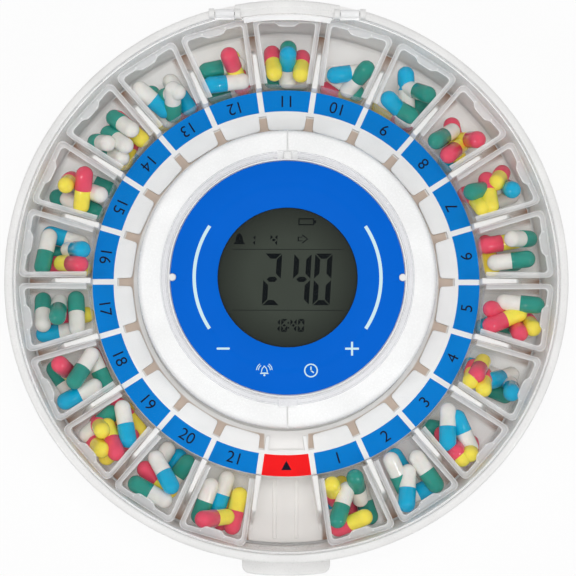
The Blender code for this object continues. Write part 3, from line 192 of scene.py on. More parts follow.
class PillBoxCarouselSizes(bpy.types.PropertyGroup):
    """Sizes of the tray, the numbered ring, the cups and the capsules"""

    rib_thickness: a_length("Rib", "Room that the cups leave for a rib", 0.0014)
    rib_root: a_length("Rib root", "Thickness of a rib at the ring", 0.0022)
    rib_tip: a_length("Rib tip", "Thickness of a rib at its outer end", 0.0012)
    rib_crest: a_length("Rib crest", "Length of a rib's level top", 0.013)
    rib_fall: a_length("Rib fall", "Length of a rib's curved fall", 0.008)
    rib_toe: a_length("Rib toe", "Length of a rib's low toe", 0.002)
    rib_toe_height: a_length("Toe height", "Height of a rib's low toe", 0.0091)
    rib_foot: a_length("Rib foot", "How far a rib is sunk into the tray's floor", 0.0025)
    block_inner: a_length("Block inner", "Inner radius of the ring's blocks", 0.0611)
    ring_inner: a_length("Ring inner", "Inner radius between the blocks", 0.0667)
    block_gap: a_length("Block gap", "Gap between two blocks", 0.003)
    block_corner: a_length("Block corner", "Corner radius of a block", 0.0012)
    bar_width: a_length("Bar width", "Thin bars beside the home bay", 0.0015)
    bar_gap: a_length("Bar gap", "Gap between such a bar and the next block", 0.0007)
    patch_inner: a_length("Patch inner", "Inner radius of the coloured patches", 0.0687)
    patch_outer: a_length("Patch outer", "Outer radius of the coloured patches", 0.07715)
    patch_gap: a_length("Patch gap", "White bar between two patches", 0.0022)
    number_height: a_length("Number size", "Size of the numbers", 0.0066)
    cup_wall: a_length("Cup wall", "Wall of a cup", 0.001)
    cup_frame: a_length("Cup frame", "In-turned rim of a cup", 0.0023)
    cup_end: a_length("Cup inner end", "Thin clear wall next to the ring", 0.0005)
    cup_corner: a_length("Cup corner", "Corner radius of a cup", 0.0025)
    cup_draft: a_length("Cup draft", "How much a cup narrows to its foot", 0.0009)
    frame_thickness: a_length("Frame thickness", "Thickness of a cup's rim", 0.0012)
    frame_bead: a_length("Frame bead", "Fine raised line along a cup's rim", 0.0003)
    notch_width: a_length("Notch width", "Half the width of the thumb rest in a rim", 0.0052)
    notch_flat: a_length("Notch flat", "Half the width of the thumb rest's end", 0.00275)
    notch_depth: a_length("Notch depth", "How far the thumb rest stands inwards", 0.0014)
    capsule_length: a_length("Capsule length", "Closed length of a capsule", 0.0194)
    capsule_radius: a_length("Capsule radius", "Radius of a capsule's cap", 0.00345)


class PillBoxCoverSizes(bpy.types.PropertyGroup):
    """Sizes of the clear cover"""

    thickness: a_length("Thickness", "Thickness of the cover", 0.0018)
    collar_height: a_length("Collar", "Clear collar above the flat of the cover", 0.0033)
    rise: a_length("Rise", "How much the cover domes", 0.0055)
    notch_width: a_length("Notch", "Gap in the collar at its rear", 0.0078)
    window_border: a_length("Window border", "Cover left outside the exit window", 0.0025)


class PillBoxColours(bpy.types.PropertyGroup):
    """Colours of the pill box, in linear light"""

    drum: a_colour("Drum", "White of the drum", (0.90, 0.895, 0.885))
    hub: a_colour("Hub", "White of the hub", (0.91, 0.91, 0.905))
    tray: a_colour("Tray", "White of the tray and its ribs", (0.89, 0.88, 0.86))
    # Painted shade: this brown stands in for the shade low in the gaps between the cups.
    gap_brown: a_colour("Gap", "Brown low in the gaps between cups", (0.30, 0.17, 0.11))
    # Painted shade: this brown stands in for the shade on the tray's deck between the ring's blocks.
    deck: a_colour("Deck", "Shade between the ring's blocks", (0.58, 0.47, 0.39))
    ring: a_colour("Ring", "White of the numbered ring", (0.90, 0.90, 0.89))
    face: a_colour("Face", "Blue of the clock face", (0.0, 0.133, 0.672))
    label: a_colour("Label", "Blue of the numbered patches", (0.0, 0.205, 0.635))
    home: a_colour("Home", "Red of the home patch", (0.96, 0.012, 0.014))
    ink: a_colour("Ink", "Dark ink of the numbers", (0.008, 0.008, 0.02))
    print_white: a_colour("Print", "White print on the face", (0.66, 0.88, 0.93))
    glass: a_colour("Display", "Unlit display", (0.046, 0.055, 0.044))
    segment: a_colour("Segment", "Dark display segments", (0.003, 0.005, 0.006))
    clear: a_colour("Clear", "Clear cover", (0.90, 0.92, 0.93))
    smoke: a_colour("Cups", "Milky cups", (0.90, 0.90, 0.91))
    # Painted highlight: the rim beads and studs take this whiter, denser colour to show the glints along the
    # cups' rims; the hinge barrels take it as real frost.
    cup_edge: a_colour("Cup edge", "Bright lines along the cups' rims", (0.97, 0.97, 0.98))
    collar: a_colour("Collar", "Clear collar round the hub", (0.52, 0.52, 0.60))
    green: a_colour("Green", "Green gelatin", (0.022, 0.300, 0.235))
    blue: a_colour("Blue", "Blue gelatin", (0.0, 0.420, 0.690))
    red: a_colour("Red", "Pink-red gelatin", (0.830, 0.078, 0.145))
    yellow: a_colour("Yellow", "Yellow gelatin", (0.970, 0.800, 0.085))
    white: a_colour("White", "White gelatin", (0.830, 0.810, 0.760))
    stage: a_colour("Stage", "Floor", (0.93, 0.93, 0.93))


class PillBoxStage(bpy.types.PropertyGroup):
    """Camera and lamps"""

    distance: a_length("Distance", "Camera distance", 0.8)
    tilt: an_angle("Tilt", "Camera tilt towards the exit side", 4.01)
    lean: an_angle("Lean", "Camera tilt towards the left", 1.15)
    aim_x: a_length("Aim X", "Point looked at", 0.00122)
    aim_y: a_length("Aim Y", "Point looked at", -0.00034)
    lens: a_number("Lens", "Focal length in mm", 121.0)
    lamp_power: a_number("Lamps", "Watts of each of the two side lamps", 1.03)
    lamp_size: a_length("Lamp size", "Side of each side lamp", 0.14)
    top_power: a_number("Top lamp", "Watts of the broad lamp overhead", 6.6)
    top_size: a_length("Top lamp size", "Side of the lamp overhead", 0.5)
    top_height: a_length("Top lamp height", "Height of the lamp overhead", 1.2)
    lamp_side: a_length("Lamp side", "Lamp's distance to the side", 0.62)
    lamp_front: a_length("Lamp front", "Lamp's distance to the front", 0.35)
    lamp_height: a_length("Lamp height", "Lamp's height", 0.8)
    sky: a_number("Sky", "Strength of the even sky light", 0.33)
    floor_glow: a_number("Floor glow", "Share of plain white seen in the floor", 0.9)


# Shapes

def arc(centre, radius, start, end, count):
    """Points on an arc, angles in degrees, both ends included."""
    points = []
    for step in range(count):
        angle = math.radians(start + (end - start) * step / (count - 1))
        points.append((centre[0] + radius * math.cos(angle), centre[1] + radius * math.sin(angle)))
    return points


def circle(radius, count, centre=(0.0, 0.0)):
    """Points round a circle."""
    return [(centre[0] + radius * math.cos(2 * math.pi * step / count),
             centre[1] + radius * math.sin(2 * math.pi * step / count)) for step in range(count)]


def softened(points, radius, steps=3, closed=True):
    """A profile with every corner rounded, by less where its sides are short."""
    count = len(points)
    result = []
    for index, corner in enumerate(points):
        if not closed and index in (0, count - 1):
            result.append(corner)
            continue
        corner = Vector(corner)
        before = Vector(points[index - 1]) - corner
        after = Vector(points[(index + 1) % count]) - corner
        reach_before = min(radius, before.length * 0.45)
        reach_after = min(radius, after.length * 0.45)
        start = corner + before.normalized() * reach_before
        end = corner + after.normalized() * reach_after
        for step in range(steps + 1):
            share = step / steps
            point = start.lerp(corner, share).lerp(corner.lerp(end, share), share)
            result.append((point.x, point.y))
    return result


def add_piece(name, mesh):
    """A new object in the scene."""
    obj = bpy.data.objects.new(name, mesh)
    bpy.context.scene.collection.objects.link(obj)
    return obj


def shade(obj, angle=32.0):
    """Smooth where a surface is round, sharp at its edges."""
    obj.data.shade_smooth()
    obj.data.set_sharp_from_angle(angle=math.radians(angle))
    return obj


def finish_mesh(bm, name):
    """A mesh with its faces turned outwards."""
    bmesh.ops.recalc_face_normals(bm, faces=bm.faces)
    mesh = bpy.data.meshes.new(name)
    bm.to_mesh(mesh)
    bm.free()
    return mesh


def turned(name, profile, closed=True, steps=ROUND):
    """A turned piece from radius and height points."""
    bm = bmesh.new()
    verts = [bm.verts.new((radius, 0.0, height)) for radius, height in profile]
    edges = [bm.edges.new(pair) for pair in zip(verts, verts[1:])]
    if closed:
        edges.append(bm.edges.new((verts[-1], verts[0])))
    bmesh.ops.spin(bm, geom=verts + edges, cent=(0, 0, 0), axis=(0, 0, 1), angle=2 * math.pi, steps=steps,
                   use_merge=True)
    bmesh.ops.remove_doubles(bm, verts=bm.verts, dist=HAIR / 30)
    return shade(add_piece(name, finish_mesh(bm, name)))


def as_mesh(source, name):
    """A curve or text object made a mesh object in the same place."""
    bpy.context.view_layer.update()
    mesh = bpy.data.meshes.new_from_object(source.evaluated_get(bpy.context.evaluated_depsgraph_get()))
    mesh.name = name
    place = source.matrix_world.copy()
    data = source.data
    bpy.data.objects.remove(source, do_unlink=True)
    bpy.data.curves.remove(data)
    obj = add_piece(name, mesh)
    obj.matrix_world = place
    bm = bmesh.new()
    bm.from_mesh(mesh)
    bmesh.ops.remove_doubles(bm, verts=bm.verts, dist=HAIR / 30)
    bm.to_mesh(mesh)
    bm.free()
    return obj


def slab(name, loops, bottom, top, edge=0.0):
    """A flat piece between two heights, from loops of XY points, its edges rounded by edge."""
    curve = bpy.data.curves.new(name, "CURVE")
    curve.dimensions = "2D"
    curve.fill_mode = "BOTH"
    curve.extrude = (top - bottom) / 2 - edge
    curve.bevel_depth = edge
    curve.bevel_resolution = 2
    curve.offset = -edge
    for points in loops:
        spline = curve.splines.new("POLY")
        spline.points.add(len(points) - 1)
        for target, point in zip(spline.points, points):
            target.co = (point[0], point[1], 0.0, 1.0)
        spline.use_cyclic_u = True
    source = add_piece(name, curve)
    source.location.z = (top + bottom) / 2
    return shade(as_mesh(source, name))


def block(name, low, high, edge=0.0):
    """A box between two corners with rounded edges."""
    bm = bmesh.new()
    bmesh.ops.create_cube(bm, size=1.0)
    size = [end - start for start, end in zip(low, high)]
    bmesh.ops.scale(bm, vec=size, verts=bm.verts)
    if edge:
        bmesh.ops.bevel(bm, geom=bm.edges, offset=edge, segments=2, profile=0.5, affect="EDGES")
    bmesh.ops.translate(bm, vec=[(start + end) / 2 for start, end in zip(low, high)], verts=bm.verts)
    return shade(add_piece(name, finish_mesh(bm, name)))


def rod(name, radius, start, end, facets=32):
    """A round bar between two points."""
    start, end = Vector(start), Vector(end)
    bm = bmesh.new()
    bmesh.ops.create_cone(bm, cap_ends=True, segments=facets, radius1=radius, radius2=radius,
                          depth=(end - start).length)
    turn = Vector((0.0, 0.0, 1.0)).rotation_difference(end - start)
    bmesh.ops.rotate(bm, cent=(0, 0, 0), matrix=turn.to_matrix(), verts=bm.verts)
    bmesh.ops.translate(bm, vec=(start + end) / 2, verts=bm.verts)
    return shade(add_piece(name, finish_mesh(bm, name)))


def joined(name, pieces):
    """Several pieces as one mesh object. They may lie apart or run into each other."""
    bpy.context.view_layer.update()
    bm = bmesh.new()
    materials = []
    for piece in pieces:
        first = len(bm.faces)
        part = piece.data.copy()
        part.transform(piece.matrix_world)
        slots = []
        for material in piece.data.materials:
            if material not in materials:
                materials.append(material)
            slots.append(materials.index(material))
        bm.from_mesh(part)
        bm.faces.ensure_lookup_table()
        for face in bm.faces[first:]:
            face.material_index = slots[face.material_index] if slots else 0
        bpy.data.meshes.remove(part)
    mesh = bpy.data.meshes.new(name)
    bm.to_mesh(mesh)
    bm.free()
    for piece in pieces:
        bpy.data.objects.remove(piece, do_unlink=True)
    for material in materials:
        mesh.materials.append(material)
    return add_piece(name, mesh)


def carve(target, tool, operation="DIFFERENCE"):
    """Cut a tool out of a piece, or weld it on, and drop the tool."""
    modifier = target.modifiers.new("carve", "BOOLEAN")
    modifier.operation = operation
    modifier.solver = "EXACT"
    modifier.object = tool
    bpy.context.view_layer.update()
    mesh = bpy.data.meshes.new_from_object(target.evaluated_get(bpy.context.evaluated_depsgraph_get()))
    target.modifiers.clear()
    target.data = mesh
    bpy.data.objects.remove(tool, do_unlink=True)
    return shade(target)


def bay_turn(index):
    """Turn that carries a shape drawn along +X to a bay."""
    return Matrix.Rotation(HOME + index * BAY_ANGLE, 4, "Z")


def settle(obj, material, body, nodes=()):
    """Give a piece its material, its body and its slot, and say which nodes it stands for."""
    if material is not None:
        obj.data.materials.clear()
        obj.data.materials.append(material)
    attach(obj, body)
    if nodes:
        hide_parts(*nodes)
    return obj


# Materials

class Nodes:
    """Short calls for building one material's node tree."""

    def __init__(self, name):
        self.material = bpy.data.materials.new(name)
        self.material.use_nodes = True
        self.tree = self.material.node_tree
        self.shader = next(node for node in self.tree.nodes if node.type == "BSDF_PRINCIPLED")

    def add(self, kind, operation=None, **inputs):
        """A node with its named inputs set to plain values."""
        node = self.tree.nodes.new(kind)
        if operation:
            node.operation = operation
        for name, value in inputs.items():
            node.inputs[name].default_value = value
        return node

    def link(self, source, target):
        """Join an output to an input."""
        self.tree.links.new(source, target)

    def plug(self, value, target):
        """Give an input another node's output or a plain value."""
        if isinstance(value, bpy.types.NodeSocket):
            self.link(value, target)
        else:
            target.default_value = value

    def dress(self, **values):
        """Set inputs of the shader, written with _ for each space, to outputs or plain values."""
        for name, value in values.items():
            self.plug(value, self.shader.inputs[name.replace("_", " ")])

    def place(self):
        """The piece's own coordinates, the same from every side."""
        return self.add("ShaderNodeTexCoord").outputs["Object"]

    def noise(self, scale, detail=2.0):
        """A noise texture in the coordinates that place gives."""
        noise = self.add("ShaderNodeTexNoise", Scale=scale, Detail=detail, Roughness=0.5)
        self.link(self.place(), noise.inputs["Vector"])
        return noise.outputs["Fac"]

    def spread(self, source, low, high, from_low=0.3, from_high=0.7):
        """Spread a range of a value over another range."""
        node = self.add("ShaderNodeMapRange")
        ends = {"From Min": from_low, "From Max": from_high, "To Min": low, "To Max": high}
        for name, value in ends.items():
            node.inputs[name].default_value = value
        self.link(source, node.inputs["Value"])
        return node.outputs["Result"]

    def blend(self, factor, first, second):
        """Mix two colours, each given as three numbers or as an output of another node."""
        node = self.tree.nodes.new("ShaderNodeMix")
        node.data_type = "RGBA"
        ends = [socket for socket in node.inputs if socket.type == "RGBA"]
        for end, colour in zip(ends, (first, second)):
            self.plug(colour if isinstance(colour, bpy.types.NodeSocket) else (*colour, 1.0), end)
        self.link(factor, node.inputs["Factor"])
        return next(socket for socket in node.outputs if socket.type == "RGBA")

    def clouds(self, source, colour, dark, light):
        """A colour that wanders between a darker and a lighter share of itself."""
        ends = [tuple(min(1.0, channel * factor) for channel in colour) for factor in (dark, light)]
        return self.blend(self.spread(source, 0.0, 1.0), *ends)

    def maths(self, operation, *values):
        """One arithmetic step on outputs or plain numbers."""
        node = self.add("ShaderNodeMath", operation)
        for end, value in zip(node.inputs, values):
            self.plug(value, end)
        return node.outputs["Value"]

    def product(self, first, *others):
        """All the values multiplied."""
        for other in others:
            first = self.maths("MULTIPLY", first, other)
        return first

    def bump(self, source, strength, distance):
        """A small relief from a height value."""
        node = self.add("ShaderNodeBump", Strength=strength, Distance=distance)
        self.link(source, node.inputs["Height"])
        self.dress(Normal=node.outputs["Normal"])


def finish(build):
    """Turn a function that dresses nodes into one that makes a named material, or finds it again."""
    def make(name, *values, **options):
        found = bpy.data.materials.get(name)
        if found:
            return found
        nodes = Nodes(name)
        build(nodes, *values, **options)
        return nodes.material
    make.__doc__ = build.__doc__
    return make


@finish
def moulded(nodes, colour, roughness, grain=1400.0, depth=0.00002, mottle=0.04, coat=0.0, sheen=0.5):
    """Moulded plastic: faint colour clouds, a fine grain and gloss that varies a little."""
    tint = nodes.clouds(nodes.noise(60.0, 3.0), colour, 1.0 - mottle, 1.0 + mottle)
    fine = nodes.noise(grain)
    nodes.dress(Base_Color=tint, Roughness=nodes.spread(fine, roughness - 0.05, roughness + 0.05),
                Specular_IOR_Level=sheen, Coat_Weight=coat, Coat_Roughness=0.1)
    nodes.bump(fine, 0.25, depth)


def printed(name, colour, roughness=0.4):
    """Printed film or paper: even matt ink with a faint mottle."""
    return moulded(name, colour, roughness, grain=2400.0, depth=0.000008, mottle=0.02, sheen=0.1)


@finish
def see_through(nodes, colour, facing_alpha, edge_alpha, roughness, turn_from=0.1, depth=0.00001):
    """Clear or milky plastic: faint face on, denser where the surface turns away. It throws only a faint
    shadow, since such plastic scatters light onwards."""
    turn = nodes.add("ShaderNodeLayerWeight", Blend=0.5).outputs["Facing"]
    alpha = nodes.spread(turn, facing_alpha, edge_alpha, turn_from, 0.98)
    shadow = nodes.add("ShaderNodeLightPath").outputs["Is Shadow Ray"]
    nodes.dress(Base_Color=nodes.clouds(nodes.noise(45.0), colour, 0.97, 1.03), Roughness=roughness, IOR=1.49,
                Alpha=nodes.product(alpha, nodes.spread(shadow, 1.0, 0.12, 0.0, 1.0)))
    nodes.bump(nodes.noise(300.0, 1.0), 0.2, depth)


@finish
def gelatin(nodes, colour):
    """A capsule's shell: glossy, a little deep, with faint handling dust."""
    dust = nodes.noise(260.0, 3.0)
    nodes.dress(Base_Color=nodes.clouds(dust, colour, 0.95, 1.06), Roughness=nodes.spread(dust, 0.10, 0.20),
                Subsurface_Weight=0.15, Subsurface_Scale=0.001, Coat_Weight=0.4, Coat_Roughness=0.08)


@finish
def tray_finish(nodes, colour, gap_shade_colour, deck_shade_colour, bay_inner, outer):
    """White moulded plastic, browned low in the gaps between the cups and between the ring's blocks."""
    parts = nodes.add("ShaderNodeSeparateXYZ")
    nodes.link(nodes.place(), parts.inputs["Vector"])
    x, y, z = (parts.outputs[axis] for axis in "XYZ")
    radius = nodes.maths("SQRT", nodes.maths("ADD", nodes.product(x, x), nodes.product(y, y)))
    aside = nodes.maths("ABSOLUTE", x)

    def off_home(half, inner, margin, step):
        """1 away from the home bay, 0 inside half its width and beyond a distance out."""
        return nodes.maths("MAXIMUM", nodes.spread(aside, 0.0, 1.0, half, half + margin),
                           nodes.spread(y, 0.0, 1.0, inner, inner + step))

    turn = nodes.maths("SUBTRACT", nodes.maths("ARCTAN2", y, x), HOME - BAYS * BAY_ANGLE)
    bay_share = nodes.maths("FRACT", nodes.maths("DIVIDE", turn, BAY_ANGLE))
    off_rib = nodes.maths("ABSOLUTE", nodes.maths("SUBTRACT", bay_share, 0.5))
    near_rib = nodes.spread(off_rib, 1.0, 0.0, 0.09, 0.15)
    far_out = nodes.spread(radius, 0.0, 1.0, bay_inner + 0.6 * (outer - bay_inner), outer)
    low_down = nodes.spread(z, 1.0, 0.0, 0.010, 0.022)
    # Painted shade low in the gaps beside each rib, far out and low down, away from the home bay.
    gap = nodes.product(near_rib, far_out, low_down, off_home(0.0145, -0.07, 0.001, 0.01))
    # Painted shade on the deck between the ring's blocks, away from the home bay.
    ring_start = nodes.spread(radius, 0.0, 1.0, bay_inner - 0.0169, bay_inner - 0.0163)
    ring_end = nodes.spread(radius, 1.0, 0.0, bay_inner - 0.0110, bay_inner - 0.0105)
    on_deck = nodes.spread(z, 0.0, 1.0, 0.0250, 0.0258)
    deck = nodes.product(ring_start, ring_end, on_deck, off_home(0.0085, -0.055, 0.0005, 0.005))
    white = nodes.clouds(nodes.noise(60.0, 3.0), colour, 0.98, 1.03)
    fine = nodes.noise(1400.0)
    nodes.dress(Base_Color=nodes.blend(gap, nodes.blend(deck, white, deck_shade_colour), gap_shade_colour),
                Roughness=nodes.spread(fine, 0.31, 0.41))
    nodes.bump(fine, 0.25, 0.00002)


@finish
def metal(nodes, colour, roughness):
    """Plain drawn metal with fine streaks."""
    streaks = nodes.noise(900.0, 3.0)
    nodes.dress(Base_Color=nodes.clouds(streaks, colour, 0.88, 1.08), Metallic=1.0,
                Roughness=nodes.spread(streaks, roughness - 0.08, roughness + 0.08))
    nodes.bump(streaks, 0.2, 0.00001)


@finish
def display_glass(nodes, colour, radius):
    """The unlit display, a little darker towards its edge."""
    flat = nodes.add("ShaderNodeVectorMath", "MULTIPLY")
    flat.inputs[1].default_value = (1.0, 1.0, 0.0)
    nodes.link(nodes.place(), flat.inputs[0])
    out = nodes.add("ShaderNodeVectorMath", "LENGTH")
    nodes.link(flat.outputs["Vector"], out.inputs[0])
    # Painted shade: lighter in the middle, darker towards the edge of its recess.
    edge_shade_share = nodes.spread(out.outputs["Value"], 0.0, 1.0, radius * 0.55, radius * 1.02)
    middle, edge = ([channel * share for channel in colour] for share in (1.12, 0.55))
    nodes.dress(Base_Color=nodes.blend(edge_shade_share, middle, edge), Roughness=0.35, Specular_IOR_Level=0.1)
    nodes.bump(nodes.noise(2200.0, 1.0), 0.1, 0.000006)


def white_of(part):
    """The white plastic of the drum, the hub or the numbered ring."""
    name, roughness, coat = {
        "drum": ("drum_white", 0.30, 0.15), "hub": ("hub_gloss", 0.26, 0.2),
        "ring": ("ring_white", 0.34, 0.0),
    }[part]
    return moulded(name, tuple(getattr(bpy.context.scene.pillbox_colours, part)), roughness, coat=coat)


# Drum

def drum_profile(sizes):
    """Half section of the drum: floor, bearing column, well, ledge, rim, flare and rounded foot."""
    radius = BASE_HIGH.x
    rim_top = HINGE.z + sizes.rim_proud
    ledge_radius = radius - sizes.rim_width
    well = ledge_radius - sizes.ledge_width
    ledge = rim_top - sizes.ledge_drop
    wall = well + sizes.wall
    column_outer = HUB_HIGH.x
    column_inner = column_outer - sizes.column_wall
    inside = [(0.0, sizes.floor), (column_inner, sizes.floor), (column_inner, sizes.column_top)]
    inside += [(column_outer, sizes.column_top), (column_outer, sizes.floor), (well, sizes.floor)]
    inside += [(well, ledge), (ledge_radius, ledge), (ledge_radius, rim_top)]
    band = 0.0012
    rim = softened([(ledge_radius, ledge), (ledge_radius, rim_top), (radius, rim_top - 0.0002),
                    (radius, ledge - band)], band, steps=5, closed=False)[1:]
    profile = softened(inside[:-1] + [rim[0]], 0.0004, steps=2, closed=False)[:-1] + rim
    flare_bottom = rim_top - sizes.flare_height
    flare_top = ledge - band
    for step in range(1, FLARE_STEPS):
        share = step / FLARE_STEPS
        reach = 0.5 + 0.5 * math.cos(math.pi * share)
        profile.append((wall + (radius - wall) * reach, flare_top + (flare_bottom - flare_top) * share))
    profile.append((wall, flare_bottom))
    profile += arc((wall - sizes.foot_round, sizes.foot_round), sizes.foot_round, 0, -90, 8)
    profile.append((0.0, 0.0))
    return profile


def lip_loop(sizes):
    """Plan of the front lip."""
    reach = -BASE_LOW.y
    half = sizes.lip_width / 2
    corner = sizes.lip_corner
    root = -(BASE_HIGH.x - sizes.rim_width - sizes.ledge_width + sizes.wall / 2)
    swing = math.asin((half - corner) / (reach - corner))
    corner_y = -(reach - corner) * math.cos(swing)
    tilt = math.degrees(swing)
    root_y = root * math.cos(math.asin(half / -root))
    loop = [(-half, root_y)]
    loop += arc((corner - half, corner_y), corner, 180, 270 - tilt, 9)
    shares = [step / 4 for step in range(-3, 4)]
    loop += [(reach * math.sin(swing * share), -reach * math.cos(swing * share)) for share in shares]
    loop += arc((half - corner, corner_y), corner, -90 + tilt, 0, 9)
    loop.append((half, root_y))
    return loop


def hinge_stations():
    """Middles of the two hinge barrels along X."""
    middle = (PIN_LOW.x + PIN_HIGH.x) / 2
    return (-middle, middle)


class PILLBOX_OT_drum(bpy.types.Operator):
    """Turn the drum and give it its lip, hinge ears, battery pocket and pad seats"""

    bl_idname = "pillbox.drum"
    bl_label = "Drum"

    def execute(self, context):
        sizes = context.scene.pillbox_drum
        drum = turned("drum_shell", drum_profile(sizes), closed=False)
        lip = slab("lip", [lip_loop(sizes)], sizes.lip_height, sizes.lip_height + sizes.lip_thickness, 0.0007)
        carve(drum, lip, "UNION")
        front = HINGE.y - sizes.ear_radius
        back = BASE_HIGH.x - sizes.rim_width / 2
        turn = math.degrees(math.asin(PIN_HIGH.x / back))
        loop = [(-PIN_HIGH.x, front), (PIN_HIGH.x, front)] + arc((0.0, 0.0), back, 90 - turn, 90 + turn, 13)
        carve(drum, slab("hinge_block", [loop], HINGE.z - sizes.block_height, HINGE.z), "UNION")
        box_x, box_y = DOOR_HIGH.x + POCKET_WALL, DOOR_HIGH.y + POCKET_WALL
        carve(drum, block("battery_box", (-box_x, -box_y, sizes.floor / 2), (box_x, box_y, sizes.column_top)),
              "UNION")
        half = sizes.barrel_length / 2 + SEAT_GAP
        under = HINGE.z - 0.0021
        for middle in hinge_stations():
            for end in (-1, 1):
                near = middle + end * half
                far = near + end * sizes.ear_length
                ear = rod("ear", sizes.ear_radius, (near, HINGE.y, HINGE.z), (far, HINGE.y, HINGE.z))
                carve(drum, ear, "UNION")
            low = (middle - half, front - SEAT_GAP, under)
            high = (middle + half, BASE_HIGH.y + 0.005, HINGE.z + sizes.ear_radius + 0.001)
            carve(drum, block("slot", low, high))
        seat_x = hinge_stations()[1] - half - sizes.ear_length - SEAT_GAP
        seat_y = HINGE.y + SEAT_GAP
        turn = math.degrees(math.asin(seat_x / seat_y))
        seat = [(-seat_x, front - 0.003), (seat_x, front - 0.003)]
        seat += arc((0.0, 0.0), seat_y, 90 - turn, 90 + turn, 25)
        carve(drum, slab("seat", [seat], under, HINGE.z + 0.004))
        rabbet_top, pocket_top = DOOR_HIGH.z + SEAT_GAP, 0.017
        for name, grow, top in (("pocket", -POCKET_WALL, pocket_top), ("rabbet", SEAT_GAP, rabbet_top)):
            x, y = DOOR_HIGH.x + grow, DOOR_HIGH.y + grow
            carve(drum, block(name, (-x, -y, -CUT_BELOW), (x, y, top)))
        for index in range(1, 5):
            low, high = corners(f"foot_pad_{index}")
            middle = (low + high) / 2
            radius = (high.x - low.x) / 2 + SEAT_GAP
            carve(drum, rod("socket", radius, (middle.x, middle.y, -CUT_BELOW),
                            (middle.x, middle.y, high.z + SEAT_GAP)))
        grip_radius, grip_depth = 0.007, 0.0012
        grip = arc((0.0, DOOR_HIGH.y), grip_radius, 0, 180, 24)
        carve(drum, slab("grip", [grip], -CUT_BELOW, grip_depth))
        settle(drum, white_of("drum"), "base", ["base_shell"])
        return {"FINISHED"}


# Underside and inner parts that keep their packed shapes

class PILLBOX_OT_inner_parts(bpy.types.Operator):
    """Give the packed inner pieces, the pads, the pins and the battery door their finishes"""

    bl_idname = "pillbox.inner_parts"
    bl_label = "Inner parts"

    def execute(self, context):
        steel = metal("drawn_steel", (0.58, 0.58, 0.57), 0.3)
        rubber = moulded("rubber_black", (0.03, 0.03, 0.032), 0.75, grain=3000.0, depth=0.00004, mottle=0.15)
        green = moulded("board_resist", (0.015, 0.13, 0.055), 0.4, grain=700.0, mottle=0.12)
        black = moulded("switch_black", (0.02, 0.02, 0.021), 0.45, mottle=0.1)
        gear = moulded("gear_acetal", (0.80, 0.79, 0.74), 0.42)
        jacket = moulded("cell_sleeve", (0.05, 0.055, 0.065), 0.28, mottle=0.08, coat=0.3)
        finishes = {"battery_door": white_of("drum"), "circuit_board": green, "drive_pinion": gear}
        finishes.update(dict.fromkeys(("gear_motor", "hinge_pin_left", "hinge_pin_right",
                                       "battery_contact_front", "battery_contact_rear"), steel))
        finishes.update(dict.fromkeys(("buzzer", "key_minus", "key_alarm", "key_clock", "key_plus"), black))
        for index in range(1, 5):
            finishes[f"foot_pad_{index}"] = rubber
            finishes[f"battery_cell_{index}"] = jacket
        for name, material in finishes.items():
            node = frame["nodes"][name]
            node.data.materials.clear()
            node.data.materials.append(material)
            shade(node)
        ridges = []
        reach, half, spacing, proud, sunk = 0.008, 0.0004, 0.0016, 0.0004, 0.0006
        for step in range(5):
            y = DOOR_HIGH.y - 0.006 - step * spacing
            ridges.append(block("ridge", (-reach, y - half, -proud), (reach, y + half, sunk), 0.0002))
        arrow_half, arrow_root, arrow_tip = 0.0035, DOOR_HIGH.y - 0.017, DOOR_HIGH.y - 0.0225
        arrow = [(-arrow_half, arrow_root), (arrow_half, arrow_root), (0.0, arrow_tip)]
        ridges.append(slab("arrow", [arrow], -0.0003, sunk))
        settle(joined("door_grip_marks", ridges), white_of("drum"), "battery_hatch")
        return {"FINISHED"}


# Hub

def on_orbit(radius, degrees):
    """Point at a distance from the middle, in the direction of an angle."""
    angle = math.radians(degrees)
    return (radius * math.cos(angle), radius * math.sin(angle))


def pip_places(sizes):
    """Middles of the two pips along X."""
    orbit = FACE_HIGH.x + SEAT_GAP - sizes.pip_radius + sizes.boss_rim / 2
    return (-orbit, orbit)


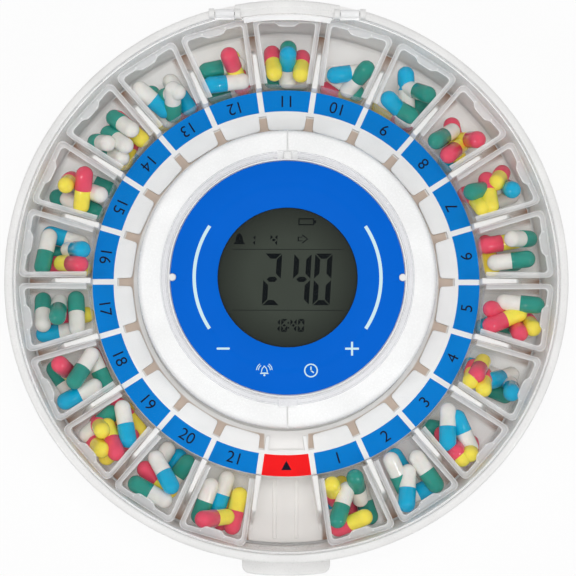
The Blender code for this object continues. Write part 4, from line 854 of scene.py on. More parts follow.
class PILLBOX_OT_hub(bpy.types.Operator):
    """Turn the white hub with its shoulder, seams, pips and posts"""

    bl_idname = "pillbox.hub"
    bl_label = "Hub"

    def execute(self, context):
        sizes = context.scene.pillbox_hub
        radius, top = HUB_HIGH.x, HUB_HIGH.z
        floor = top - sizes.recess_drop
        ceiling = floor - sizes.wall
        shoulder = top - sizes.boss_height
        hole = LENS_HIGH.x + 2 * SEAT_GAP
        recess = FACE_HIGH.x + SEAT_GAP
        boss = recess + sizes.boss_rim
        skirt = 0.0246
        section = [(hole, floor), (recess, floor), (recess, top), (boss, top), (boss, shoulder)]
        rounding = arc((radius - sizes.shoulder_round, shoulder - sizes.shoulder_round), sizes.shoulder_round,
                       90, 0, 8)
        inner = radius - sizes.wall
        lower = [(radius, skirt), (inner, skirt), (inner, shoulder - sizes.wall)]
        lower += [(boss - sizes.wall, shoulder - sizes.wall), (boss - sizes.wall, ceiling), (hole, ceiling)]
        profile = softened(section, 0.00025, 2, closed=False) + rounding + lower
        hub = turned("hub_shell", profile)
        half, seam_start, seam_depth, past = sizes.seam_width / 2, boss + 0.0033, 0.0015, 0.002
        for side in (-1, 1):
            near, far = sorted((side * seam_start, side * (radius + past)))
            carve(hub, block("seam", (-half, near, shoulder - seam_depth), (half, far, shoulder + past)))
        pieces = [hub]
        for x in pip_places(sizes):
            pieces.append(rod("pip", sizes.pip_radius, (x, 0, floor - SEAT_GAP), (x, 0, top - HAIR)))
        tab_half, tab_root, tab_reach = 0.00145, 0.0005, 0.003
        pieces.append(block("collar_tab", (-tab_half, boss - tab_root, shoulder - tab_root),
                            (tab_half, boss + tab_reach, shoulder + tab_reach), 0.0003))
        post_radius, neck_radius, board_top, foot = 0.0032, 0.0022, 0.0463, 0.0191
        out, aside = on_orbit(0.0348, 25.8)
        for place in ((-out, -aside), (-out, aside), (out, -aside), (out, aside)):
            pieces.append(rod("post", post_radius, (*place, board_top), (*place, ceiling + SEAT_GAP), 24))
            pieces.append(rod("post_neck", neck_radius, (*place, foot), (*place, board_top + 0.0001), 24))
        settle(joined("hub_shell", pieces), white_of("hub"), "base", ["hub_housing"])
        return {"FINISHED"}


# Blue face

def stroke_arc(radius, width, start, end, count=40):
    """Outline of an arc drawn with a square-ended pen, angles in degrees."""
    middle, half = (0.0, 0.0), width / 2
    return arc(middle, radius + half, start, end, count) + arc(middle, radius - half, end, start, count)


def bar_loop(centre, length, width, angle=0.0):
    """A round-ended straight stroke."""
    half = (length - width) / 2
    turn = math.degrees(angle)
    step = Vector((math.cos(angle), math.sin(angle))) * half
    near = (centre[0] - step.x, centre[1] - step.y)
    far = (centre[0] + step.x, centre[1] + step.y)
    return arc(far, width / 2, turn - 90, turn + 90, 9) + arc(near, width / 2, turn + 90, turn + 270, 9)


def ring_loops(centre, radius, width, count=40):
    """Outer and inner loop of a thin ring."""
    return [circle(radius + width / 2, count, centre), circle(radius - width / 2, count, centre)]


def mirrored_loop(centre, size, left):
    """A loop from the points of its left half, in shares of a size."""
    right = [(-x, y) for x, y in reversed(left)]
    return [(centre[0] + x * size, centre[1] + y * size) for x, y in (*left, *right)]


FACE_BELL = ((-0.82, -0.62), (-0.62, -0.36), (-0.55, 0.10), (-0.42, 0.48), (-0.16, 0.68), (-0.14, 0.86))
DISPLAY_BELL = ((-0.50, -0.50), (-0.50, -0.40), (-0.36, -0.26), (-0.30, 0.14), (-0.20, 0.38), (-0.08, 0.50))


class PILLBOX_OT_face(bpy.types.Operator):
    """Make the blue face and its printed arcs and icons"""

    bl_idname = "pillbox.face"
    bl_label = "Face"

    def execute(self, context):
        sizes = context.scene.pillbox_hub
        colours = context.scene.pillbox_colours
        top = FACE_HIGH.z - HAIR
        hole = LENS_HIGH.x + SEAT_GAP
        section = [(hole, top), (FACE_HIGH.x, top), (FACE_HIGH.x, FACE_LOW.z), (hole, FACE_LOW.z)]
        face = turned("blue_face", softened(section, 0.0002, 2))
        past = 0.001
        for x in pip_places(sizes):
            low, high = (x, 0, FACE_LOW.z - past), (x, 0, top + past)
            carve(face, rod("notch", sizes.pip_radius + 0.0002, low, high))
        settle(face, printed("face_film", tuple(colours.face), 0.36), "base", ["faceplate"])
        spread = math.degrees(sizes.arc_spread)
        loops = [[stroke_arc(sizes.arc_radius, sizes.arc_width, middle - spread, middle + spread)]
                 for middle in (0.0, 180.0)]
        pen = sizes.pen
        minus = on_orbit(sizes.icon_orbit, -132.0)
        plus = on_orbit(sizes.icon_orbit, -48.0)
        loops.append([bar_loop(minus, 0.0051, pen)])
        half = pen / 2
        arm = 0.00265
        cross = [(arm, half), (half, half), (half, arm), (-half, arm), (-half, half), (-arm, half),
                 (-arm, -half), (-half, -half), (-half, -arm), (half, -arm), (half, -half), (arm, -half)]
        loops.append([[(plus[0] + x, plus[1] + y) for x, y in cross]])
        clock = on_orbit(sizes.icon_orbit, -76.0)
        thin = 0.0005
        loops.append(ring_loops(clock, 0.0024, thin))
        loops.append([bar_loop((clock[0], clock[1] + 0.0007), 0.0018, thin, math.pi / 2)])
        loops.append([bar_loop((clock[0] + 0.0005, clock[1] - 0.0004), 0.0016, thin, -math.pi / 5)])
        bell = on_orbit(sizes.icon_orbit, -104.0)
        outline = mirrored_loop(bell, 0.0021, FACE_BELL)
        hollow = [(bell[0] + (x - bell[0]) * 0.70, bell[1] + (y - bell[1]) * 0.68 + 0.0001)
                  for x, y in outline]
        loops.append([outline, hollow])
        loops.append([circle(0.0004, 12, (bell[0], bell[1] - 0.0018))])
        for side in (30.0, 150.0):
            for reach in (0.0023, 0.0030):
                wave = stroke_arc(reach, 0.00032, side - 26, side + 26, 9)
                loops.append([[(bell[0] + x, bell[1] + y) for x, y in wave]])
        marks = [slab("mark", group, top - 0.00002, top + HAIR * 0.8) for group in loops]
        ink = printed("face_print", tuple(colours.print_white), 0.4)
        settle(joined("face_marks", marks), ink, "base")
        return {"FINISHED"}


# Display

# Dark segments of each digit: a to f clockwise from the top one, g across the middle
SEGMENTS = {
    "0": "abcdef", "1": "bc", "2": "abged", "3": "abgcd", "4": "fgbc",
    "5": "afgcd", "6": "afgedc", "7": "abc", "8": "abcdefg", "9": "abcdfg",
}


def segment_loops(digit, left, bottom, width, height, stroke, slant=0.06):
    """Loops of the dark segments of one display digit."""
    middle = bottom + height / 2
    right, top = left + width, bottom + height
    gap = stroke * 0.14
    tip = stroke / 2

    def flat(y, inset_low, inset_high):
        x0, x1 = left + gap, right - gap
        return [(x0 + inset_low, y), (x1 - inset_low, y), (x1 - inset_high, y - stroke * 0.999),
                (x0 + inset_high, y - stroke * 0.999)]

    def hexagon_flat(y):
        x0, x1 = left + gap + tip, right - gap - tip
        return [(x0, y), (x0 + tip, y + tip), (x1 - tip, y + tip), (x1, y), (x1 - tip, y - tip),
                (x0 + tip, y - tip)]

    def upright(x, low, high, outward):
        inner = x - outward * stroke
        return [(x, low + gap), (x, high - gap), (inner, high - gap - stroke), (inner, low + gap + stroke)]

    shapes = {
        "a": flat(top, 0.0, stroke),
        "d": [(left + gap + stroke, bottom + stroke), (right - gap - stroke, bottom + stroke),
              (right - gap, bottom), (left + gap, bottom)],
        "g": hexagon_flat(middle),
        "f": upright(left, middle, top, -1),
        "e": upright(left, bottom, middle, -1),
        "b": upright(right, middle, top, 1),
        "c": upright(right, bottom, middle, 1),
    }
    loops = []
    for name in SEGMENTS[digit]:
        loops.append([[(x + (y - bottom) * slant, y) for x, y in shapes[name]]])
    return loops


class PILLBOX_OT_display(bpy.types.Operator):
    """Make the display: glass, dark segments and the clear lens over them"""

    bl_idname = "pillbox.display"
    bl_label = "Display"

    def execute(self, context):
        sizes = context.scene.pillbox_hub
        colours = context.scene.pillbox_colours
        radius = LENS_HIGH.x + SEAT_GAP
        top = PANEL_HIGH.z
        flange_top = PANEL_LOW.z + 0.0024
        section = [(0.0, top), (radius, top), (radius, flange_top), (PANEL_HIGH.x, flange_top),
                   (PANEL_HIGH.x, PANEL_LOW.z), (0.0, PANEL_LOW.z)]
        panel = turned("display_panel", section, closed=False)
        glass = display_glass("display_olive", tuple(colours.glass), radius)
        settle(panel, glass, "base", ["lcd_panel"])
        loops = []
        large = (-0.0107, sizes.digit_width, sizes.digit_height, sizes.digit_stroke)
        for digit, left in (("2", -0.00995), ("4", 0.00145), ("0", 0.00955)):
            loops += segment_loops(digit, left, *large)
        # Rows become digit, left edge, bottom, width and height
        small = [("1", -0.00555), ("6", -0.00265), ("4", 0.00085), ("0", 0.00385)]
        small = [(digit, left, -0.0210, 0.0024, 0.0050) for digit, left in small]
        small += [("1", -0.0150, 0.0125, 0.0024, 0.0040), ("4", -0.0068, 0.0124, 0.0027, 0.0043)]
        for row in small:
            loops += segment_loops(*row, sizes.small_stroke)
        for height in (-0.0175, -0.0194):
            loops.append([circle(0.00036, 10, (0.0003, height))])
        for height in (0.01093, -0.01263):
            loops.append([bar_loop((0.0002, height), 0.0430, 0.0002)])
        battery = [(0.0042, 0.0203), (0.0103, 0.0203), (0.0103, 0.0209), (0.0110, 0.02115), (0.0110, 0.02215),
                   (0.0103, 0.0224), (0.0103, 0.0230), (0.0042, 0.0230)]
        hollow = [(0.00465, 0.02075), (0.00985, 0.02075), (0.00985, 0.02255), (0.00465, 0.02255)]
        loops.append([battery, hollow])
        loops.append([mirrored_loop((-0.01865, 0.0150), 0.0042, DISPLAY_BELL)])
        arrow = [(0.0039, 0.0141), (0.0057, 0.0141), (0.0057, 0.0131), (0.0080, 0.01495), (0.0057, 0.0168),
                 (0.0057, 0.0158), (0.0039, 0.0158)]
        mid_x, mid_y = 0.0058, 0.01495
        arrow_hole = [(mid_x + (x - mid_x) * 0.76, mid_y + (y - mid_y) * 0.66) for x, y in arrow]
        loops.append([arrow, arrow_hole])
        dark = [slab("segment", group, top + HAIR * 0.2, top + HAIR) for group in loops]
        ink = printed("segment_dark", tuple(colours.segment), 0.4)
        settle(joined("display_segments", dark), ink, "base")
        lens_top = LENS_HIGH.z - HAIR
        section = [(0.0, lens_top), (LENS_HIGH.x, lens_top), (LENS_HIGH.x, LENS_LOW.z), (0.0, LENS_LOW.z)]
        lens = turned("display_lens", section, closed=False)
        clear = see_through("lens_clear", (0.3, 0.31, 0.31), 0.006, 0.4, 0.06, turn_from=0.35)
        settle(lens, clear, "base", ["lcd_lens"])
        return {"FINISHED"}


# Numbered ring

def bay_side(radial, margin):
    """Distance across from a bay's middle line to a line beside its border, at a distance out."""
    return radial * math.tan(HALF_BAY) - margin / math.cos(HALF_BAY)


def bay_point(radial, across, middle):
    """Point at a distance out and across in a bay whose middle line has that angle."""
    cos, sin = math.cos(middle), math.sin(middle)
    return (radial * cos - across * sin, radial * sin + across * cos)


def ring_inner_loop(sizes):
    """Inner edge of the ring: a block in every numbered bay and two thin bars at the home bay."""
    inside, outside, gap, corner = sizes.block_inner, sizes.ring_inner, sizes.block_gap, sizes.block_corner
    shift = sizes.bar_gap - gap / 2
    bar = sizes.bar_width - shift
    points = []
    for way in (-1, 1):
        margins = [(outside, -shift), (inside, -shift), (inside, bar), (outside, bar)]
        edges = [(radial, way * bay_side(radial, margin)) for radial, margin in margins[::-way]]
        points += [bay_point(radial, across, HOME) for radial, across in edges]
    near, far = bay_side(inside, gap / 2), bay_side(outside, gap / 2)
    local = [(outside, -far)]
    local += [(inside + corner - x, -near + corner - y) for x, y in arc((0, 0), corner, 90, 0, 6)]
    local += [(inside + corner - x, near - corner + y) for x, y in arc((0, 0), corner, 0, 90, 6)]
    local.append((outside, far))
    for index in range(1, BAYS):
        points += [bay_point(radial, across, HOME + index * BAY_ANGLE) for radial, across in local]
    return points


def patch_loop(inner, outer, gap, index):
    """A label patch: part of the ring between two white bars."""
    middle = HOME + index * BAY_ANGLE
    points = []
    for radius, way in ((inner, 1), (outer, -1)):
        half = HALF_BAY - math.asin(gap / 2 / radius)
        for step in range(9):
            angle = middle + way * half * (step / 4 - 1)
            points.append((radius * math.cos(angle), radius * math.sin(angle)))
    return points


class PILLBOX_OT_number_ring(bpy.types.Operator):
    """Make the numbered ring with its coloured patches and numbers"""

    bl_idname = "pillbox.number_ring"
    bl_label = "Numbered ring"

    def execute(self, context):
        sizes = context.scene.pillbox_carousel
        colours = context.scene.pillbox_colours
        top = RING_HIGH.z - HAIR * 2
        loops = [circle(RING_HIGH.x, ROUND), ring_inner_loop(sizes)]
        ring = slab("ring_blocks", loops, RING_LOW.z, top, 0.0002)
        settle(ring, white_of("ring"), "carousel", ["number_ring"])
        blue = printed("label_blue", tuple(colours.label), 0.38)
        red = printed("label_red", tuple(colours.home), 0.38)
        ink = printed("label_ink", tuple(colours.ink), 0.45)
        label_top = top + HAIR
        patches = []
        for index in range(BAYS):
            loop = patch_loop(sizes.patch_inner, sizes.patch_outer, sizes.patch_gap, index)
            patch = slab("patch", [loop], top - HAIR, label_top)
            patch.data.materials.append(blue if index else red)
            patches.append(patch)
        settle(joined("label_patches", patches), None, "carousel")
        marks = []
        middle_radius = (sizes.patch_inner + sizes.patch_outer) / 2
        for index in range(1, BAYS):
            text = bpy.data.curves.new("number", "FONT")
            text.body = str(index)
            text.size = sizes.number_height
            text.align_x = "CENTER"
            text.align_y = "CENTER"
            text.extrude = HAIR / 4
            source = add_piece("number", text)
            place = Matrix.Translation((middle_radius, 0.0, label_top + HAIR / 4))
            source.matrix_world = bay_turn(index) @ place @ Matrix.Rotation(math.pi / 2, 4, "Z")
            marks.append(as_mesh(source, "number"))
        half, low, high = 0.00205, 0.0746, 0.0709
        arrow = [bay_point(low, -half, HOME), bay_point(low, half, HOME), bay_point(high, 0.0, HOME)]
        marks.append(slab("home_mark", [arrow], label_top, label_top + HAIR / 2))
        settle(joined("label_numbers", marks), ink, "carousel")
        return {"FINISHED"}


# Tray

def rib_mesh(sizes):
    """One rib drawn along +X: broad at the ring, slim where its crest falls in an S to a low toe."""
    root = BAY_INNER
    crest_end = root + sizes.rib_crest
    fall_end = crest_end + sizes.rib_fall
    crest, toe, foot = TRAY_HIGH.z, sizes.rib_toe_height, TRAY_LOW.z + sizes.rib_foot
    stations = [(root - SEAT_GAP / 2 + sizes.rib_crest * share / 6, crest) for share in range(6)]
    for step in range(RIB_STEPS + 1):
        share = step / RIB_STEPS
        drop = 0.5 - 0.5 * math.cos(math.pi * share)
        stations.append((crest_end + sizes.rib_fall * share, crest + (toe - crest) * drop))
    stations.append((fall_end + sizes.rib_toe, toe))
    sections = []
    for out, top in stations:
        slim = max(0.0, min(1.0, (out - root) / (fall_end - root)))
        half = (sizes.rib_root + (sizes.rib_tip - sizes.rib_root) * slim) / 2
        edge = half * 0.22
        loop = [(-half, foot), (half, foot)]
        loop += arc((half - edge, top - edge), edge, 0, 90, 4)
        loop += arc((edge - half, top - edge), edge, 90, 180, 4)
        sections.append([(out, across, height) for across, height in loop])
    return loft("rib", sections)


class PILLBOX_OT_tray(bpy.types.Operator):
    """Make the carousel tray with its ribs, floor strips and ring gear"""

    bl_idname = "pillbox.tray"
    bl_label = "Tray"

    def execute(self, context):
        sizes = context.scene.pillbox_carousel
        colours = context.scene.pillbox_colours
        wall_inner = BAY_INNER - 0.0014
        floor_low = TRAY_LOW.z + 0.0017
        floor_top = floor_low + 0.0016
        outer = TRAY_HIGH.x
        sleeve_inner, sleeve_outer = HUB_HIGH.x + SEAT_GAP, HUB_HIGH.x + SEAT_GAP + 0.0016
        deck_inner = sleeve_inner + 0.0007
        gear_low, gear_top, deck, root = 0.020, 0.024, 0.0262, 0.052
        section = [(deck_inner, deck), (BAY_INNER, deck), (BAY_INNER, floor_top), (outer, floor_top),
                   (outer, floor_low), (wall_inner, floor_low), (wall_inner, gear_top),
                   (sleeve_outer, gear_top), (sleeve_outer, TRAY_LOW.z), (sleeve_inner, TRAY_LOW.z),
                   (sleeve_inner, gear_low), (root, gear_low), (root, gear_top), (deck_inner, gear_top)]
        pieces = [turned("tray_body", softened(section, 0.00025, 2))]
        rib = rib_mesh(sizes)
        for index in range(BAYS):
            pieces.append(shade(add_piece("rib", rib), 40.0))
            pieces[-1].matrix_world = bay_turn(index + 0.5)
        margin = strip_width = 0.0016
        strip_aside = 0.0044
        for side in (-1, 1):
            near = side * strip_aside - strip_width / 2
            pieces.append(block("strip", (near, -(outer - margin), floor_top - 0.0004),
                                (near + strip_width, -(BAY_INNER + margin), floor_top + 0.0007), 0.0003))
        teeth = 2 * BAYS
        flank = ((root + 0.0004, 0.0026), (0.0495, 0.0016), (0.0484, 0.0012))
        for tooth in range(teeth):
            middle = math.pi / 2 + 2 * math.pi * (tooth + 0.5) / teeth
            loop = [bay_point(radius, -width, middle) for radius, width in flank]
            loop += [bay_point(radius, width, middle) for radius, width in reversed(flank)]
            pieces.append(slab("gear_tooth", [loop], gear_low, gear_top))
        white_and_painted_shades = (tuple(getattr(colours, part)) for part in ("tray", "gap_brown", "deck"))
        material = tray_finish("tray_white", *white_and_painted_shades, BAY_INNER, outer)
        settle(joined("tray", pieces), material, "carousel", ["carousel_tray"])
        return {"FINISHED"}


# Cups

def cup_sizes(sizes):
    """Inner and outer distance of a cup, and half its width at each end."""
    outer = CUP_HIGH.y
    rib = sizes.rib_thickness / 2 / math.cos(HALF_BAY)
    play_inner, play_outer = 0.00035, 0.00085
    half_inner = BAY_INNER * math.tan(HALF_BAY) - rib - play_inner
    half_outer = outer * math.tan(HALF_BAY) - rib - play_outer
    return BAY_INNER, outer, half_inner, half_outer


def cup_loop(sizes, inset, corner, inner_inset, notch):
    """A cup's plan, drawn in by an inset. The thumb rest stands into its outer side by a share."""
    inner, outer, half_inner, half_outer = cup_sizes(sizes)
    inner += inset if inner_inset is None else inner_inset
    outer -= inset
    far, near = half_outer - inset, half_inner - inset
    small = min(corner, 0.0006)
    turns = (((outer - corner, far - corner), corner), ((inner + small, near - small), small),
             ((inner + small, small - near), small), ((outer - corner, corner - far), corner))
    points = []
    for quarter, (centre, radius) in enumerate(turns):
        points += arc(centre, radius, 90 * quarter, 90 * quarter + 90, 6)
    for step in range(1 - NOTCH_STEPS, NOTCH_STEPS):
        across = sizes.notch_width * step / (NOTCH_STEPS - 1)
        rise = max(0.0, (abs(across) - sizes.notch_flat) / (sizes.notch_width - sizes.notch_flat))
        depth = sizes.notch_depth * notch * (0.5 + 0.5 * math.cos(math.pi * rise))
        points.append((outer - depth, across))
    return points


def loft(name, sections):
    """A skin through sections of equal point count, closed at both ends."""
    bm = bmesh.new()
    rings = [[bm.verts.new(point) for point in section] for section in sections]
    for lower, upper in zip(rings, rings[1:]):
        for index in range(len(lower)):
            after = (index + 1) % len(lower)
            bm.faces.new((lower[index], lower[after], upper[after], upper[index]))
    bm.faces.new(rings[0])
    bm.faces.new(rings[-1])
    return finish_mesh(bm, name)


def cup_skin(sizes):
    """One see-through cup drawn along +X: walls, a rim with a fine bead along both edges, and a floor.
    Slot 0 is for the walls, 1 for the rim, 2 for the beads and 3 for the clear inner end. A layer is its
    inset, height, corner radius, inset at the inner end (or as elsewhere), thumb rest and slot."""
    foot, top = CUP_LOW.z, CUP_HIGH.z
    corner, wall, rim, bead = sizes.cup_corner, sizes.cup_wall, sizes.cup_frame, sizes.frame_bead
    tight, draft, end = corner - wall, sizes.cup_draft, sizes.cup_end
    small = bead / 3
    under = top - sizes.frame_thickness
    groove = top - 2 * small
    soft, fillet = 0.0006, 0.0005
    layers = [
        (draft + soft, foot, corner, None, 0, 0), (draft, foot + soft, corner, None, 0, 0),
        (small, under, corner, None, 0, 0), (small, top - bead, corner, None, 0, 2),
        (0.0, groove, corner, None, 0, 2), (0.0, top - small, corner, None, 0, 2),
        (small, top, corner, None, 0, 2), (bead, top, corner, end / 2, 0, 2),
        (bead + small, groove, corner, end / 2, 0, 1), (rim - bead - small, groove, tight, end, 1, 2),
        (rim - bead, top, tight, end, 1, 2), (rim - small, top, tight, end, 1, 2),
        (rim, top - small, tight, end, 1, 2), (rim, top - bead, tight, end, 1, 1),
        (rim, under, tight, end, 1, 1), (wall, under - small, tight, end, 0, 0),
        (draft + wall, foot + wall + fillet, tight, draft + end, 0, 0),
        (draft + wall + fillet, foot + wall, tight, draft + end + fillet, 0, 0),
    ]
    sections = []
    slots = []
    for inset, height, radius, inner_inset, notch, slot in layers:
        loop = cup_loop(sizes, inset, radius, inner_inset, notch)
        sections.append([(x, y, height) for x, y in loop])
        slots += [slot] * len(loop)
    mesh = loft("cup", sections)
    slots[len(slots) - len(sections[-1]):] = [0, 0]
    inner_end = BAY_INNER + 2 * end
    for face, slot in zip(mesh.polygons, slots):
        at_end = all(mesh.vertices[index].co.x < inner_end for index in face.vertices)
        face.material_index = 3 if at_end else slot
    return mesh


class PILLBOX_OT_cups(bpy.types.Operator):
    """Make the see-through cups with their beaded rims and thumb rests"""

    bl_idname = "pillbox.cups"
    bl_label = "Cups"

    def execute(self, context):
        sizes = context.scene.pillbox_carousel
        colours = context.scene.pillbox_colours
        # The beads and studs get a whiter, denser see-through material: a painted glint along the rims.
        smoke, glint_white = tuple(colours.smoke), tuple(colours.cup_edge)
        mesh = cup_skin(sizes)
        # Rows are name, colour, opacity face on and edge on, and roughness
        for row in (("cup_wall", smoke, 0.12, 0.36, 0.2), ("cup_rim", smoke, 0.34, 0.70, 0.25),
                    ("cup_bead", glint_white, 0.45, 0.85, 0.15), ("cup_end", smoke, 0.04, 0.12, 0.2)):
            mesh.materials.append(see_through(*row))
        model = shade(add_piece("cup_model", mesh), 50.0)
        outer = CUP_HIGH.y - sizes.cup_frame
        pieces = [model]
        for side in (-1, 1):
            for radial, across in ((outer + 0.0008, 0.0048), (outer - 0.0009, 0.0026)):
                stud = rod("stud", sizes.frame_bead, (radial, side * across, CUP_HIGH.z - 0.0011),
                           (radial, side * across, CUP_HIGH.z - HAIR), 12)
                stud.data.materials.append(mesh.materials[2])
                pieces.append(stud)
        model = shade(joined("cup_model", pieces), 50.0)
        shared = model.data
        bpy.data.objects.remove(model, do_unlink=True)
        for index in range(1, BAYS):
            cup = add_piece(f"clear_cup_{index:02d}", shared)
            cup.matrix_world = bay_turn(index)
            settle(cup, None, "carousel", [f"cup_{index:02d}"])
        return {"FINISHED"}


# Capsules. Each row is kind, distance across (clockwise is positive) and out in mm, the way its cap
# points in degrees (90 is outwards) and how far its cap is raised. They are dropped in that order.
FILLS = {
    1: (("r", 1, 90, 90, 0), ("b", 8, 92, -92, 0), ("g", -5.9, 95, 93, 0), ("r", 5.5, 83, 90, -60),
        ("g", 4.3, 90.8, 55, 15), ("r", 3.5, 100, 8, -30), ("g", -4, 84, -90, 45)),
    2: (("r", 1.2, 91, -90, 0), ("b", 0.8, 85, -90, 10), ("b", 1.5, 99.3, 175, 0), ("g", -6, 94, 92, 0),
        ("g", 8.3, 86, 83, -15), ("b", 5.2, 95.3, 53, 14)),
    3: (("r", 5, 96.5, 100, 0), ("g", 7.5, 86, -60, 0), ("r", 9, 97, -90, 0), ("b", -0.8, 92.3, 245, 0),
        ("b", 2.2, 84, 39, 10), ("r", 8.5, 94, 20, 65), ("r", 2, 99.5, 200, -70),
        ("r", 7, 100.5, 180, -70)),
    4: (("b", -1.7, 83, -88, 0), ("g", 9.8, 95.5, 92, 0), ("b", -1.5, 94.5, -50, 42),
        ("r", 5.2, 88, 190, -62), ("r", -0.8, 84.3, -10, 58), ("r", 5, 82.6, 180, -60),
        ("b", 1.2, 99.3, 10, 72)),
    5: (("b", 4, 83, -60, 0), ("g", 10, 97.5, -95, 0), ("r", -0.8, 86.5, -90, 45),
        ("g", -4.6, 95.8, 92, 10), ("r", 4, 88, -60, 12), ("r", 9, 93.5, 20, 65),
        ("r", 2.6, 99.4, 200, -72)),
    6: (("g", 9.5, 88, 80, 0), ("r", 5, 83, 180, -30), ("r", -3.8, 86, -88, 10), ("g", 4.2, 90.3, 88, 5),
        ("g", -4, 97, 88, -50)),
    7: (("g", 9.5, 94, -95, 0), ("r", -2, 85, -100, 0), ("r", -3, 95.8, 120, -60), ("b", 2.4, 97, 0, 75),
        ("r", 4.3, 88.5, 160, -30), ("r", 7, 83, 180, -50), ("g", -1, 85.3, -100, 35)),
    8: (("b", 4, 84.5, -60, 0), ("r", 3.3, 90.3, 150, 0), ("g", -3, 84.8, -95, 45), ("r", 8, 85, -90, 50),
        ("r", 9, 93.5, 30, 68)),
    9: (("r", 1, 82.5, 0, 0), ("g", 5, 88, 80, 0), ("b", -1.3, 91.8, 125, 5), ("g", 3.6, 93, 5, 42),
        ("g", 8, 83, 0, 10), ("b", 4.5, 82.4, 172, 32)),
    10: (("r", 0.5, 82.3, 180, -25), ("g", 6.5, 83, -20, 0), ("b", 3.4, 87.8, 205, 8),
         ("g", 6.2, 85.5, 62, 38)),
    11: (("g", 5.5, 83, 0, 0), ("g", -4, 83, 180, 0), ("g", 0.8, 86.3, 90, 10), ("r", -5.3, 88, 95, -42),
         ("r", 6.2, 87, 85, -48), ("b", 0.4, 82.5, 88, 45)),
    12: (("g", -3, 82.5, 180, 0), ("r", 6, 86, -88, 0), ("g", -2.5, 90.5, 178, 10),
         ("b", 0.5, 83.5, 172, 8), ("r", 4, 88.7, 98, 45)),
    13: (("r", -4, 82.8, 0, 0), ("b", 7, 88, -88, 0), ("g", -4, 87, 90, 0), ("b", -6.3, 91, -72, -12),
         ("g", 0.8, 82.6, 235, -48), ("g", 1.5, 88.6, 150, -60)),
    14: (("b", -4.5, 82.8, 180, 0), ("r", 3, 83, 20, 0), ("r", 6, 86, 90, 0), ("g", -6, 86.5, 95, -50),
         ("g", -6.8, 92.5, 110, -62), ("g", -1.3, 88.5, 92, -42), ("g", 5, 91, 92, -42)),
    15: (("g", -7.5, 94, 90, 0), ("g", 6.5, 86, -88, 0), ("g", -5.5, 85, -90, 10),
         ("g", 0.6, 85.3, 90, -48), ("r", -0.6, 88.8, 17, 20), ("r", 0.2, 95.8, 10, -72)),
    16: (("g", -1.2, 89.5, 88, 0), ("b", 5.6, 91, 82, 0), ("r", -6.5, 88, 90, 0), ("r", -5, 84, -90, 50),
         ("b", 0.8, 84.5, -90, 60), ("g", -2, 97.2, 178, 12)),
    17: (("r", -0.5, 84, 90, 0), ("b", -7.4, 95, 90, 0), ("g", 3.2, 98.5, -3, -38), ("g", 2, 85, -4, -22),
         ("g", 2.2, 91.5, 175, 60)),
    18: (("r", -3, 83, 0, -15), ("g", 3.5, 82.6, 180, 0), ("g", 3, 98.8, 8, 0), ("b", -6.8, 94, 93, 5),
         ("g", 2.3, 87.5, 125, 20), ("r", 6.2, 94, 20, 62)),
    19: (("r", 5, 88, 80, 0), ("r", -5, 83, 0, 0), ("g", 7, 97, -90, 0), ("r", -8, 97, -90, 0),
         ("b", -1.5, 85, 150, 8), ("r", -2.5, 93, 160, 30), ("r", 0, 99.2, 10, -65),
         ("r", 6, 93.5, 0, -72)),
    20: (("b", -1.2, 86, -92, 0), ("g", 4, 86, 90, 0), ("g", -6, 87.5, -95, 5), ("r", 3.6, 93.7, -8, 0),
         ("g", 0.3, 99.3, 3, 0), ("b", 0, 89.6, 152, 15)),
    21: (("r", -1, 97, 100, 0), ("b", 0.8, 87, 88, 0), ("g", 7.2, 92.6, 86, 0), ("r", -6.6, 93, 93, 5),
         ("r", 0.8, 97.6, 20, 45)),
}
KINDS = {"g": ("green", "white"), "b": ("blue", "white"), "r": ("red", "yellow")}


def capsule_half(radius, length, is_cap):
    """Cap or body of a capsule along +X, its round end outwards. The body is a little slimmer."""
    body_slimmer = 0.00018
    size, way = (radius, 1) if is_cap else (radius - body_slimmer, -1)
    centre = length / 2 - size
    profile = []
    for degrees in range(0, 91, 10):
        angle = math.radians(degrees)
        profile.append((size * math.sin(angle), way * (centre + size * math.cos(angle))))
    if is_cap:
        profile += [(radius, 0.0001), (radius - 0.0001, 0.0), (radius - 0.0003, 0.0)]
    else:
        profile.append((size, 0.0003))
    piece = turned("capsule_half", profile, closed=False, steps=28)
    piece.data.transform(Matrix.Rotation(math.pi / 2, 4, "Y"))
    return shade(piece, 50.0)


def drop_height(points, earlier, diameter, floor):
    """Height at which a capsule comes to rest on the floor and on the capsules dropped before it."""
    radius = diameter / 2
    height = max(floor + radius - point.z for point in points)
    for other in earlier:
        for point in points:
            for under in other:
                apart = math.hypot(point.x - under.x, point.y - under.y)
                if apart < diameter:
                    rise = math.sqrt(diameter ** 2 - apart ** 2)
                    height = max(height, under.z + rise - point.z)
    return height


